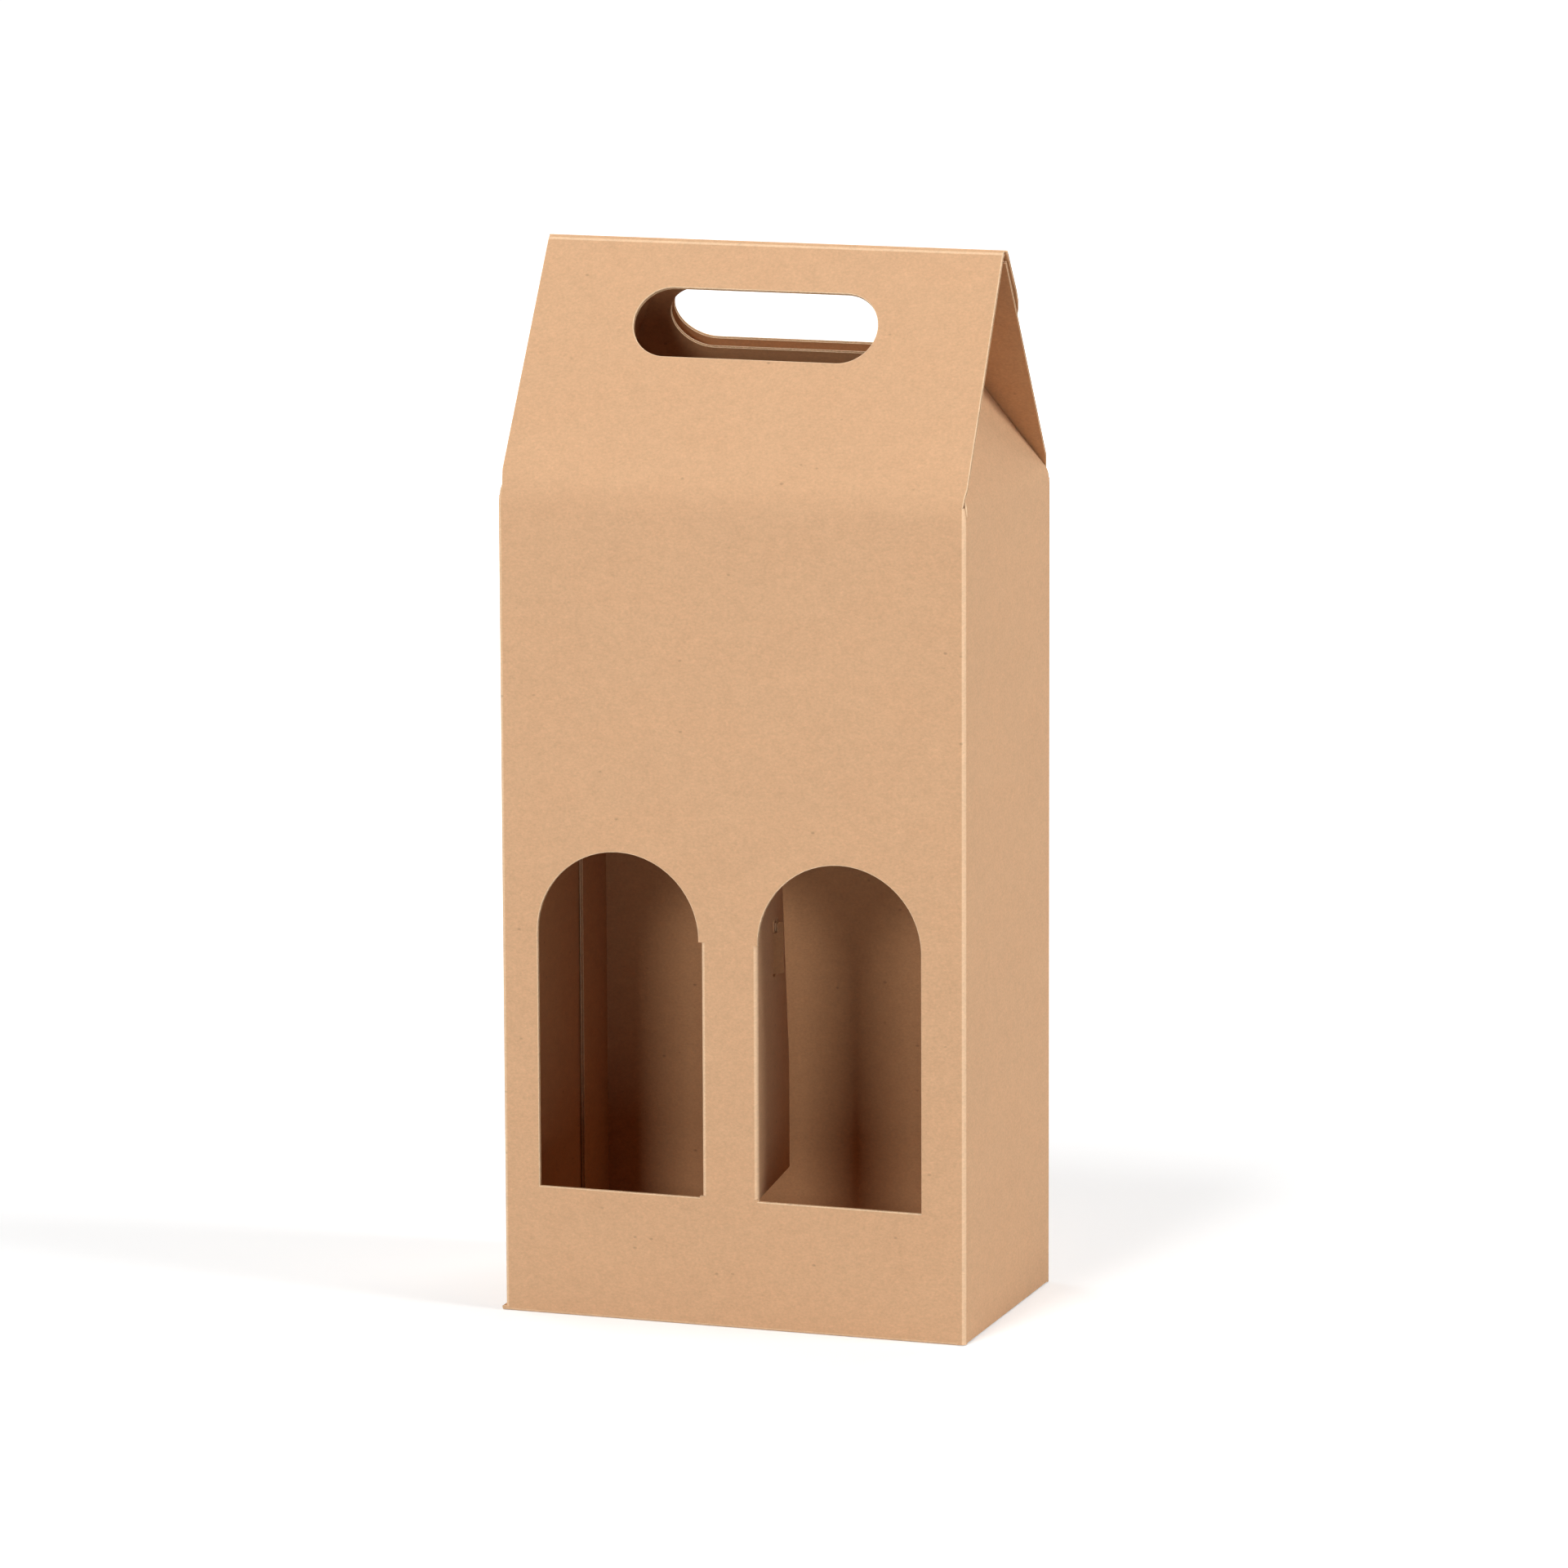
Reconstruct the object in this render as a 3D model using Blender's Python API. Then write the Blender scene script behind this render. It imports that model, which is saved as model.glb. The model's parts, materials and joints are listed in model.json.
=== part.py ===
"""Gable-top carrier for two bottles, folded from one creased sheet of kraft micro-flute board.

Each panel between two creases is its own solid. The frame has its origin under the middle of the
base: +X to the right as seen from the front, +Y to the rear, +Z up. Sizes are in millimetres and
become metres where a mesh is made. A panel is drawn as seen from outside the carton, with u to
the right, v away from its crease and the board's thickness going inward from the outer face.
"""

import math

import bmesh
import bpy
from mathutils import Matrix, Vector

MM = 0.001
SQUARE_FOLD = 90.0

# Carton body
BODY_WIDTH = 180.0
BODY_DEPTH = 105.0
SHOULDER_HEIGHT = 310.0
BOARD = 1.5
FIT_GAP = 0.3
SEAM_SETBACK = 0.5
GLUE_FLAP_WIDTH = 27.0
GLUE_FLAP_END_GAP = 6.0
GLUE_FLAP_TAPER = 7.0

# Gable
RIDGE_HEIGHT = 398.0
RIDGE_REAR_OFFSET = 1.2
RIDGE_STRIP_WIDTH = 3.0
RIDGE_STRIP_TILT = 30.0
RIDGE_GAP = 1.0
BACK_SLOPE_SETBACK = 3.5
SLOPE_SIDE_INSET = 0.9
CLOSING_FLAP_LENGTH = 60.0
CLOSING_FLAP_CORNER = 40.0
CLOSING_FLAP_SIDE_INSET = 1.0
CLOSING_FLAP_LIFT = 3.5

# Hand hole, cut through the front slope, the rear slope and the closing flap
HAND_HOLE_LENGTH = 94.2
HAND_HOLE_HEIGHT = 27.5
HAND_HOLE_SHIFT = -1.8
HAND_HOLE_BELOW_RIDGE = 20.1
REAR_HOLE_HEIGHT = 28.5
REAR_HOLE_SHIFT = 1.0

# Dust flaps at the shoulders
SHOULDER_FLAP_TOP_WIDTH = 20.5
SHOULDER_FLAP_LEAN = 29.5
SHOULDER_FLAP_GAP = 0.6
SHOULDER_FLAP_CORNER = 9.0

# Windows in the front wall
WINDOW_WIDTH = 63.0
WINDOW_SPACING = 86.0
WINDOW_SHIFT = -1.4
WINDOW_SILL = 48.5
WINDOW_SPRING = 145.0
CREASE_NICK = 0.3

# Divider flaps, cut from the windows and hooked together behind the post
DIVIDER_GAP = 0.6
RIGHT_DIVIDER_DEPTH = 56.0
RIGHT_DIVIDER_LEAN = 7.0
RIGHT_DIVIDER_TAPER_START = 90.0
RIGHT_DIVIDER_TAPER = 9.0
CROSSING_DEPTH = 33.1
HOOK_REACH = 2.3
HOOK_BOTTOM = 128.0
HOOK_HEIGHT = 15.5
HOOK_NOSE_HEIGHT = 4.0
HOOK_NOSE_LENGTH = 2.9
HOOK_SLOT_GAP = 0.6
HOOK_SLOT_SWEEP = 3.2

# Crash-lock base
FRONT_CORNER_OVERHANG = 1.4
FRONT_CORNER_REACH = 9.0
MAJOR_END_INSET = 3.0
TONGUE_WIDTH = 36.0
TONGUE_INNER_OFFSET = 8.0
TONGUE_REACH = 16.0
TONGUE_CORNER = 8.0
TONGUE_RAMP = 3.0
TONGUE_RAMP_SETBACK = 1.0
TONGUE_RELIEF = 0.5
MINOR_TONGUE_GAP = 4.0
MINOR_CHAMFER = 12.0
MINOR_FREE_EDGE_SLOPE = 18.0
MINOR_SIDE_GAP = 0.9
SCORE_WIDTH = 0.8
SCORE_END_GAP = 1.5
SCORE_DEPTH = 0.35

# How finely the round outlines are divided
ARC_STEP = 7.5

HALF_WIDTH = BODY_WIDTH / 2
HALF_DEPTH = BODY_DEPTH / 2
WINDOW_RADIUS = WINDOW_WIDTH / 2
MINOR_LEVEL = BOARD + FIT_GAP
CUT_THROUGH = BOARD

OUTSIDE_COLOUR = (0.66, 0.42, 0.25)
SHADED_COLOUR = (0.58, 0.36, 0.21)
INSIDE_COLOUR = (0.50, 0.31, 0.18)
BOARD_ROUGHNESS = 0.85


def direction(degrees):
    """Unit vector in a plane, by its angle from the first axis."""
    return Vector((math.cos(math.radians(degrees)), math.sin(math.radians(degrees))))


def angle_of(vector):
    """Angle of a plane vector from the first axis, in degrees."""
    return math.degrees(math.atan2(vector[1], vector[0]))


def gable_lines():
    """Side profile of the gable, in the Y and Z plane, and the lean of each of its panels."""
    front_crease = Vector((-HALF_DEPTH, SHOULDER_HEIGHT))
    rear_crease = Vector((HALF_DEPTH, SHOULDER_HEIGHT))
    ridge_rear = Vector((RIDGE_REAR_OFFSET, RIDGE_HEIGHT))
    ridge_front = ridge_rear - direction(RIDGE_STRIP_TILT) * RIDGE_STRIP_WIDTH
    front_angle = angle_of(ridge_front - front_crease)
    to_ridge = ridge_rear - rear_crease
    tuck = math.degrees(math.asin((BOARD + RIDGE_GAP) / to_ridge.length))
    back_angle = angle_of(to_ridge) + tuck
    back_length = to_ridge.dot(direction(back_angle)) - BACK_SLOPE_SETBACK
    closing_angle = back_angle - 180.0 + CLOSING_FLAP_LIFT
    return {
        "ridge_front": ridge_front,
        "ridge_rear": ridge_rear,
        "front_angle": front_angle,
        "front_length": (ridge_front - front_crease).length,
        "back_angle": back_angle,
        "back_length": back_length,
        "closing_angle": closing_angle,
        "front_fold": 90.0 - front_angle,
        "back_fold": back_angle - 90.0,
        "ridge_front_fold": front_angle - RIDGE_STRIP_TILT,
        "ridge_rear_fold": RIDGE_STRIP_TILT - closing_angle,
    }


def divider_lines():
    """Plan of the two dividers, in the X and Y plane, where the left one crosses the right one."""
    middle = WINDOW_SHIFT
    right_hinge = Vector((middle + WINDOW_SPACING / 2 - WINDOW_RADIUS, -HALF_DEPTH))
    left_hinge = Vector((middle - WINDOW_SPACING / 2 + WINDOW_RADIUS, -HALF_DEPTH))
    right_angle = SQUARE_FOLD + RIGHT_DIVIDER_LEAN
    crossing = right_hinge + direction(right_angle) * CROSSING_DEPTH
    left_angle = angle_of(crossing - left_hinge)
    between = right_angle - left_angle
    sine = math.sin(math.radians(between))
    tangent = math.tan(math.radians(between))
    # The left board's inner face leads it by the board's run on the slant.
    board_run = BOARD / sine + BOARD / tangent
    left_length = (crossing - left_hinge).length
    return {
        "right_hinge": right_hinge,
        "left_hinge": left_hinge,
        "right_angle": right_angle,
        "left_angle": left_angle,
        "left_length": left_length,
        "left_depth": left_length - board_run - HOOK_SLOT_GAP / sine,
        "slot_start": CROSSING_DEPTH - board_run - HOOK_SLOT_GAP,
        "slot_end": CROSSING_DEPTH + HOOK_SLOT_SWEEP,
    }


GABLE = gable_lines()
DIVIDERS = divider_lines()


def place(origin, across, up):
    """Frame of a panel: its origin, u and v axes, with the outward normal as third axis."""
    u_axis = Vector(across).normalized()
    v_axis = Vector(up).normalized()
    outward = u_axis.cross(v_axis)
    frame = Matrix((u_axis, v_axis, outward)).transposed().to_4x4()
    frame.translation = Vector(origin) * MM
    return frame


def arc(centre, radius, start, end):
    """Points of an arc from one angle to another, both ends among them."""
    count = max(2, math.ceil(abs(end - start) / ARC_STEP))
    points = []
    for index in range(count + 1):
        point = Vector(centre) + direction(start + (end - start) * index / count) * radius
        points.append((point[0], point[1]))
    return points


def cut_edges(points):
    """Outline points whose edges are all cut ones, with no fold."""
    return [(point[0], point[1], None) for point in points]


def offset_outline(outline, depth, outward=False):
    """Outline at one depth: a creased edge draws back by half the gap and by its mitre."""
    count = len(outline)
    lines = []
    for index, (u, v, fold) in enumerate(outline):
        next_u, next_v, _ = outline[(index + 1) % count]
        along = Vector((next_u - u, next_v - v)).normalized()
        inward = Vector((-along[1], along[0]))
        inset = 0.0
        if fold is not None:
            inset = FIT_GAP / 2 + max(depth, 0.0) * math.tan(math.radians(fold / 2))
        if outward:
            inset = -inset
        lines.append((Vector((u, v)) + inward * inset, along, inward))
    points = []
    for index in range(count):
        before_point, _, before_normal = lines[index - 1]
        point, along, _ = lines[index]
        slope = along.dot(before_normal)
        if abs(slope) < 1e-4:
            points.append(point)
            continue
        step = (before_point - point).dot(before_normal) / slope
        points.append(point + along * step)
    return points


def board_mesh(name, outline, depths, outward=False):
    """Closed sheet of board with an outline at each depth, its end faces mitred at the creases."""
    mesh = bmesh.new()
    rings = []
    for depth in depths:
        points = offset_outline(outline, depth, outward)
        rings.append([mesh.verts.new((p[0] * MM, p[1] * MM, -depth * MM)) for p in points])
    mesh.faces.new(rings[0])
    mesh.faces.new(list(reversed(rings[-1])))
    for upper, lower in zip(rings, rings[1:]):
        for index in range(len(outline)):
            after = (index + 1) % len(outline)
            mesh.faces.new((lower[index], lower[after], upper[after], upper[index]))
    data = bpy.data.meshes.new(name)
    mesh.to_mesh(data)
    mesh.free()
    return data


def board_material(name, colour):
    """Kraft board finish of one panel."""
    material = bpy.data.materials.new(name + "_kraft")
    material.use_nodes = True
    shader = material.node_tree.nodes["Principled BSDF"]
    shader.inputs["Base Color"].default_value = (*colour, 1.0)
    shader.inputs["Roughness"].default_value = BOARD_ROUGHNESS
    shader.inputs["Metallic"].default_value = 0.0
    return material


def panel(name, frame, outline, colour=OUTSIDE_COLOUR):
    """One panel of the carton as an object, placed by its crease."""
    item = bpy.data.objects.new(name, board_mesh(name, outline, (0.0, BOARD)))
    item.data.materials.append(board_material(name, colour))
    item.matrix_world = frame
    bpy.context.scene.collection.objects.link(item)
    return item


def cut_out(target, name, outline, depths=(-CUT_THROUGH, 0.0, BOARD + CUT_THROUGH)):
    """Cut an outline out of a panel. A creased edge of the hole is mitred like a panel's."""
    cutter = bpy.data.objects.new(name, board_mesh(name, outline, depths, outward=True))
    cutter.matrix_world = target.matrix_world
    cutter.hide_render = True
    cutter.display_type = "WIRE"
    bpy.context.scene.collection.objects.link(cutter)
    modifier = target.modifiers.new(name, "BOOLEAN")
    modifier.operation = "DIFFERENCE"
    modifier.solver = "EXACT"
    modifier.object = cutter


def walls():
    """Four walls of the sleeve. The side walls end one board above the base's major flaps."""
    front = panel(
        "front_panel",
        place((0, -HALF_DEPTH, 0), (1, 0, 0), (0, 0, 1)),
        [
            (-HALF_WIDTH, 0, SQUARE_FOLD),
            (HALF_WIDTH, 0, SQUARE_FOLD),
            (HALF_WIDTH, SHOULDER_HEIGHT, GABLE["front_fold"]),
            (-HALF_WIDTH, SHOULDER_HEIGHT, SQUARE_FOLD),
        ],
    )
    for name, outline in (
        ("left_window_cutter", left_window()),
        ("right_window_cutter", right_window()),
    ):
        cut_out(front, name, outline)
    panel(
        "right_side_panel",
        place((HALF_WIDTH, 0, 0), (0, 1, 0), (0, 0, 1)),
        [
            (-HALF_DEPTH, MINOR_LEVEL, SQUARE_FOLD),
            (HALF_DEPTH, MINOR_LEVEL, SQUARE_FOLD),
            (HALF_DEPTH, SHOULDER_HEIGHT, SQUARE_FOLD),
            (-HALF_DEPTH, SHOULDER_HEIGHT, SQUARE_FOLD),
        ],
        SHADED_COLOUR,
    )
    panel(
        "left_side_panel",
        place((-HALF_WIDTH, 0, 0), (0, -1, 0), (0, 0, 1)),
        [
            (-HALF_DEPTH + SEAM_SETBACK, MINOR_LEVEL, SQUARE_FOLD),
            (HALF_DEPTH, MINOR_LEVEL, SQUARE_FOLD),
            (HALF_DEPTH, SHOULDER_HEIGHT, SQUARE_FOLD),
            (-HALF_DEPTH + SEAM_SETBACK, SHOULDER_HEIGHT, None),
        ],
        SHADED_COLOUR,
    )
    panel(
        "back_panel",
        place((0, HALF_DEPTH, 0), (-1, 0, 0), (0, 0, 1)),
        [
            (-HALF_WIDTH, 0, SQUARE_FOLD),
            (seam_line(), 0, SQUARE_FOLD),
            (seam_line(), SHOULDER_HEIGHT, GABLE["back_fold"]),
            (-HALF_WIDTH, SHOULDER_HEIGHT, SQUARE_FOLD),
        ],
    )


def seam_line():
    """Distance from the middle to the fold of the glue flap, inside the left wall."""
    return HALF_WIDTH - BOARD - FIT_GAP


def glue_flap():
    """Seam flap of the rear wall, glued to the inside of the left wall."""
    low = GLUE_FLAP_END_GAP
    high = SHOULDER_HEIGHT - GLUE_FLAP_END_GAP
    panel(
        "glue_flap",
        place((-seam_line(), HALF_DEPTH, 0), (0, -1, 0), (0, 0, 1)),
        [
            (0, low, None),
            (GLUE_FLAP_WIDTH, low + GLUE_FLAP_TAPER, None),
            (GLUE_FLAP_WIDTH, high - GLUE_FLAP_TAPER, None),
            (0, high, SQUARE_FOLD),
        ],
        INSIDE_COLOUR,
    )


def right_window():
    """Arched window, seen from outside, creased along its left side where its flap turns."""
    left = DIVIDERS["right_hinge"][0]
    right = left + WINDOW_WIDTH
    fold = DIVIDERS["right_angle"]
    head = arc((left + WINDOW_RADIUS, WINDOW_SPRING), WINDOW_RADIUS, 0.0, 180.0)
    outline = cut_edges([(left, WINDOW_SILL), (right, WINDOW_SILL)] + head)
    outline.append((left - CREASE_NICK, WINDOW_SPRING, fold))
    outline[0] = (left - CREASE_NICK, WINDOW_SILL, None)
    return outline


def left_window():
    """The other window, creased along its right side."""
    right = DIVIDERS["left_hinge"][0]
    left = right - WINDOW_WIDTH
    fold = 180.0 - DIVIDERS["left_angle"]
    head = arc((left + WINDOW_RADIUS, WINDOW_SPRING), WINDOW_RADIUS, 0.0, 180.0)
    creased = right + CREASE_NICK
    outline = [(left, WINDOW_SILL, None), (creased, WINDOW_SILL, fold)]
    outline += cut_edges([(creased, WINDOW_SPRING)] + head)
    return outline


def head_angle(depth):
    """Angle on the flap's arch at a distance from the hinge."""
    return math.degrees(math.acos((depth - WINDOW_RADIUS) / (WINDOW_RADIUS - DIVIDER_GAP)))


def crease_relief(fold):
    """How far a folded flap's board reaches before it is clear of the wall it turns behind."""
    past_square = math.radians(fold - SQUARE_FOLD)
    return (BOARD + FIT_GAP + BOARD * math.sin(past_square)) / math.cos(past_square)


def tapered_depth():
    """Distance from the hinge at which the right flap's tapered edge meets its arch."""
    radius = WINDOW_RADIUS - DIVIDER_GAP
    taper = math.tan(math.radians(RIGHT_DIVIDER_TAPER))
    straight = WINDOW_SPRING - RIGHT_DIVIDER_TAPER_START
    aside = RIGHT_DIVIDER_DEPTH - WINDOW_RADIUS - straight * taper
    spread = 1 + taper**2
    rise = (aside * taper + math.sqrt(spread * radius**2 - aside**2)) / spread
    return WINDOW_RADIUS + aside - rise * taper


def right_divider():
    """Right window's flap, swung inward past square, with the slot for the other flap's hook."""
    sill = WINDOW_SILL + DIVIDER_GAP
    top_depth = tapered_depth()
    fold = DIVIDERS["right_angle"]
    relief = crease_relief(fold)
    crease_top = WINDOW_SPRING - FIT_GAP
    head = arc(
        (WINDOW_RADIUS, WINDOW_SPRING),
        WINDOW_RADIUS - DIVIDER_GAP,
        head_angle(top_depth),
        head_angle(relief),
    )
    outline = cut_edges(
        [
            (0, sill),
            (RIGHT_DIVIDER_DEPTH, sill),
            (RIGHT_DIVIDER_DEPTH, RIGHT_DIVIDER_TAPER_START),
        ]
        + head
        + [(relief, crease_top)]
    )
    outline.append((0, crease_top, fold))
    hinge = DIVIDERS["right_hinge"]
    along = direction(DIVIDERS["right_angle"])
    flap = panel(
        "right_divider_flap",
        place((hinge[0], hinge[1], 0), (along[0], along[1], 0), (0, 0, 1)),
        outline,
        SHADED_COLOUR,
    )
    low = HOOK_BOTTOM - HOOK_SLOT_GAP
    high = HOOK_BOTTOM + HOOK_HEIGHT + HOOK_NOSE_HEIGHT + HOOK_SLOT_GAP
    start = DIVIDERS["slot_start"]
    end = DIVIDERS["slot_end"]
    slot = cut_edges([(start, low), (end, low), (end, high), (start, high)])
    cut_out(flap, "hook_slot_cutter", slot)


def left_divider_frame():
    """Frame of the left divider. Its board lies on the negative side of u."""
    hinge = DIVIDERS["left_hinge"]
    along = direction(DIVIDERS["left_angle"])
    return place((hinge[0], hinge[1], 0), (-along[0], -along[1], 0), (0, 0, 1))


def left_divider():
    """Left window's flap, swung past the post towards the right one."""
    sill = WINDOW_SILL + DIVIDER_GAP
    depth = DIVIDERS["left_depth"]
    fold = 180.0 - DIVIDERS["left_angle"]
    relief = crease_relief(fold)
    crease_top = WINDOW_SPRING - FIT_GAP
    head = arc(
        (-WINDOW_RADIUS, WINDOW_SPRING),
        WINDOW_RADIUS - DIVIDER_GAP,
        180.0 - head_angle(relief),
        180.0 - head_angle(depth),
    )
    outline = [(-depth, sill, None), (0, sill, fold)]
    outline += cut_edges([(0, crease_top), (-relief, crease_top)] + head)
    panel("left_divider_flap", left_divider_frame(), outline, INSIDE_COLOUR)


def divider_lock_tab():
    """Hook at the left divider's end, which passes through the right divider's slot."""
    root = DIVIDERS["left_depth"] + FIT_GAP / 2
    tip = DIVIDERS["left_length"] + HOOK_REACH
    top = HOOK_BOTTOM + HOOK_HEIGHT
    nose_top = top + HOOK_NOSE_HEIGHT
    rounding = HOOK_NOSE_LENGTH / 2
    nose_centre = (-tip + rounding, nose_top - rounding)
    nose = arc(nose_centre, rounding, 0.0, 180.0)
    outline = cut_edges(
        [(-tip, HOOK_BOTTOM), (-root, HOOK_BOTTOM), (-root, top), (-tip + HOOK_NOSE_LENGTH, top)]
        + nose
    )
    outline[1] = (-root, HOOK_BOTTOM, 0.0)
    panel("divider_lock_tab", left_divider_frame(), outline, SHADED_COLOUR)


def hand_hole(low, height):
    """Long hole with round ends, its lower edge at a distance from the panel's crease."""
    radius = height / 2
    reach = HAND_HOLE_LENGTH / 2 - radius
    middle = low + radius
    right_end = arc((reach, middle), radius, -90.0, 90.0)
    left_end = arc((-reach, middle), radius, 90.0, 270.0)
    return right_end + left_end


def shifted(points, distance):
    """Outline points moved sideways, as cut edges."""
    return cut_edges([(point[0] + distance, point[1]) for point in points])


def gable():
    """Front slope, ridge strip, closing flap and rear slope, each with its hand hole."""
    slope_half = HALF_WIDTH - SLOPE_SIDE_INSET
    front_along = direction(GABLE["front_angle"])
    front = panel(
        "front_slope_panel",
        place((0, -HALF_DEPTH, SHOULDER_HEIGHT), (1, 0, 0), (0, *front_along)),
        [
            (-slope_half, 0, GABLE["front_fold"]),
            (slope_half, 0, None),
            (slope_half, GABLE["front_length"], GABLE["ridge_front_fold"]),
            (-slope_half, GABLE["front_length"], None),
        ],
    )
    apex_length = math.hypot(HALF_DEPTH, RIDGE_HEIGHT - SHOULDER_HEIGHT)
    front_low = apex_length - HAND_HOLE_BELOW_RIDGE - HAND_HOLE_HEIGHT
    front_hole = shifted(hand_hole(front_low, HAND_HOLE_HEIGHT), HAND_HOLE_SHIFT)
    cut_out(front, "front_hand_hole_cutter", front_hole)

    ridge_along = direction(RIDGE_STRIP_TILT)
    panel(
        "ridge_strip",
        place((0, *GABLE["ridge_front"]), (1, 0, 0), (0, *ridge_along)),
        [
            (-slope_half, 0, GABLE["ridge_front_fold"]),
            (slope_half, 0, None),
            (slope_half, RIDGE_STRIP_WIDTH, GABLE["ridge_rear_fold"]),
            (-slope_half, RIDGE_STRIP_WIDTH, None),
        ],
    )

    flap_half = HALF_WIDTH - CLOSING_FLAP_SIDE_INSET
    flap_along = direction(GABLE["closing_angle"])
    corner_row = CLOSING_FLAP_LENGTH - CLOSING_FLAP_CORNER
    corner_column = flap_half - CLOSING_FLAP_CORNER
    # This flap is drawn from the ridge down the rear slope, so u stays along +X.
    outline = cut_edges(
        [(-flap_half, 0), (flap_half, 0)]
        + arc((corner_column, corner_row), CLOSING_FLAP_CORNER, 0.0, 90.0)
        + arc((-corner_column, corner_row), CLOSING_FLAP_CORNER, 90.0, 180.0)
    )
    outline[0] = (-flap_half, 0, GABLE["ridge_rear_fold"])
    closing = panel(
        "closing_flap",
        place((0, *GABLE["ridge_rear"]), (1, 0, 0), (0, *flap_along)),
        outline,
    )
    closing_hole = shifted(hand_hole(HAND_HOLE_BELOW_RIDGE, REAR_HOLE_HEIGHT), REAR_HOLE_SHIFT)
    cut_out(closing, "closing_hand_hole_cutter", closing_hole)

    back_along = direction(GABLE["back_angle"])
    back = panel(
        "back_slope_panel",
        place((0, HALF_DEPTH, SHOULDER_HEIGHT), (-1, 0, 0), (0, *back_along)),
        [
            (-slope_half, 0, GABLE["back_fold"]),
            (seam_line(), 0, None),
            (seam_line(), GABLE["back_length"], None),
            (-slope_half, GABLE["back_length"], None),
        ],
        SHADED_COLOUR,
    )
    rear_length = GABLE["back_length"] + BACK_SLOPE_SETBACK
    back_low = rear_length - HAND_HOLE_BELOW_RIDGE - REAR_HOLE_HEIGHT
    back_hole = shifted(hand_hole(back_low, REAR_HOLE_HEIGHT), -REAR_HOLE_SHIFT)
    cut_out(back, "back_hand_hole_cutter", back_hole)


def shoulder_half_width(distance, slope_fold):
    """Half width of a dust flap under one slope, at a distance up from its crease."""
    lean = math.radians(slope_fold)
    height = distance * math.cos(math.radians(SHOULDER_FLAP_LEAN))
    return HALF_DEPTH - height * math.tan(lean) - BOARD / math.cos(lean) - SHOULDER_FLAP_GAP


def shoulder_flap_length():
    """Length at which a dust flap has narrowed between the two slopes to its top width."""
    front = math.radians(GABLE["front_fold"])
    back = math.radians(GABLE["back_fold"])
    boards = BOARD / math.cos(front) + BOARD / math.cos(back)
    narrowing = BODY_DEPTH - boards - 2 * SHOULDER_FLAP_GAP - SHOULDER_FLAP_TOP_WIDTH
    height = narrowing / (math.tan(front) + math.tan(back))
    return height / math.cos(math.radians(SHOULDER_FLAP_LEAN))


def shoulder_flap(name, side):
    """Dust flap that leans inward from one side wall. Side is 1 on the right, -1 on the left."""
    lean = math.radians(SHOULDER_FLAP_LEAN)
    length = shoulder_flap_length()
    under_front = GABLE["front_fold"]
    under_back = GABLE["back_fold"]
    first, second = (under_front, under_back) if side > 0 else (under_back, under_front)
    first_slope = shoulder_half_width(0, first) - shoulder_half_width(length, first)
    second_slope = shoulder_half_width(0, second) - shoulder_half_width(length, second)
    corner = SHOULDER_FLAP_CORNER
    row = length - corner
    first_turn = math.degrees(math.atan2(first_slope, length))
    second_turn = math.degrees(math.atan2(second_slope, length))
    first_top = (
        -shoulder_half_width(row, first) + corner / math.cos(math.radians(first_turn)),
        row,
    )
    second_top = (
        shoulder_half_width(row, second) - corner / math.cos(math.radians(second_turn)),
        row,
    )
    outline = cut_edges(
        [(-shoulder_half_width(0, first), 0), (shoulder_half_width(0, second), 0)]
        + arc(second_top, corner, second_turn, 90.0)
        + arc(first_top, corner, 90.0, 180.0 - first_turn)
    )
    outline[0] = (*outline[0][:2], SQUARE_FOLD)
    panel(
        name,
        place(
            (side * HALF_WIDTH, 0, SHOULDER_HEIGHT),
            (0, side, 0),
            (-side * math.sin(lean), 0, math.cos(lean)),
        ),
        outline,
    )


def raise_tongue(flap, start, end):
    """Bend the tongue up by one board, over the ramp between two distances from the crease."""
    mesh = bmesh.new()
    mesh.from_mesh(flap.data)
    for distance in (start, end):
        bmesh.ops.bisect_plane(
            mesh,
            geom=mesh.verts[:] + mesh.edges[:] + mesh.faces[:],
            plane_co=(0, distance * MM, 0),
            plane_no=(0, 1, 0),
        )
    inner = TONGUE_INNER_OFFSET - TONGUE_RELIEF / 2
    outer = TONGUE_INNER_OFFSET + TONGUE_WIDTH + TONGUE_RELIEF / 2
    for vertex in mesh.verts:
        across = vertex.co[0] / MM
        along = vertex.co[1] / MM
        if inner < across < outer and along > end - TONGUE_RAMP_SETBACK / 2:
            vertex.co[2] -= MINOR_LEVEL * MM
    mesh.to_mesh(flap.data)
    mesh.free()


def major_outline(right_end, left_points):
    """Outline of a major base flap from its free right end round its tongue to its left end."""
    free_edge = HALF_DEPTH - FIT_GAP / 2
    notch = free_edge - TONGUE_RAMP - TONGUE_RAMP_SETBACK
    inner = TONGUE_INNER_OFFSET
    outer = inner + TONGUE_WIDTH
    reach = HALF_DEPTH + TONGUE_REACH
    corner_row = reach - TONGUE_CORNER
    tongue = arc((outer - TONGUE_CORNER, corner_row), TONGUE_CORNER, 0.0, 90.0)
    tongue += arc((inner + TONGUE_CORNER, corner_row), TONGUE_CORNER, 90.0, 180.0)
    points = [(-right_end, 0)]
    points += left_points
    points += [(outer + TONGUE_RELIEF, free_edge), (outer + TONGUE_RELIEF, notch), (outer, notch)]
    points += tongue
    points += [(inner, notch), (inner - TONGUE_RELIEF, notch), (inner - TONGUE_RELIEF, free_edge)]
    points += [(-right_end, free_edge)]
    outline = cut_edges(points)
    outline[0] = (*outline[0][:2], SQUARE_FOLD)
    return outline


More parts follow.
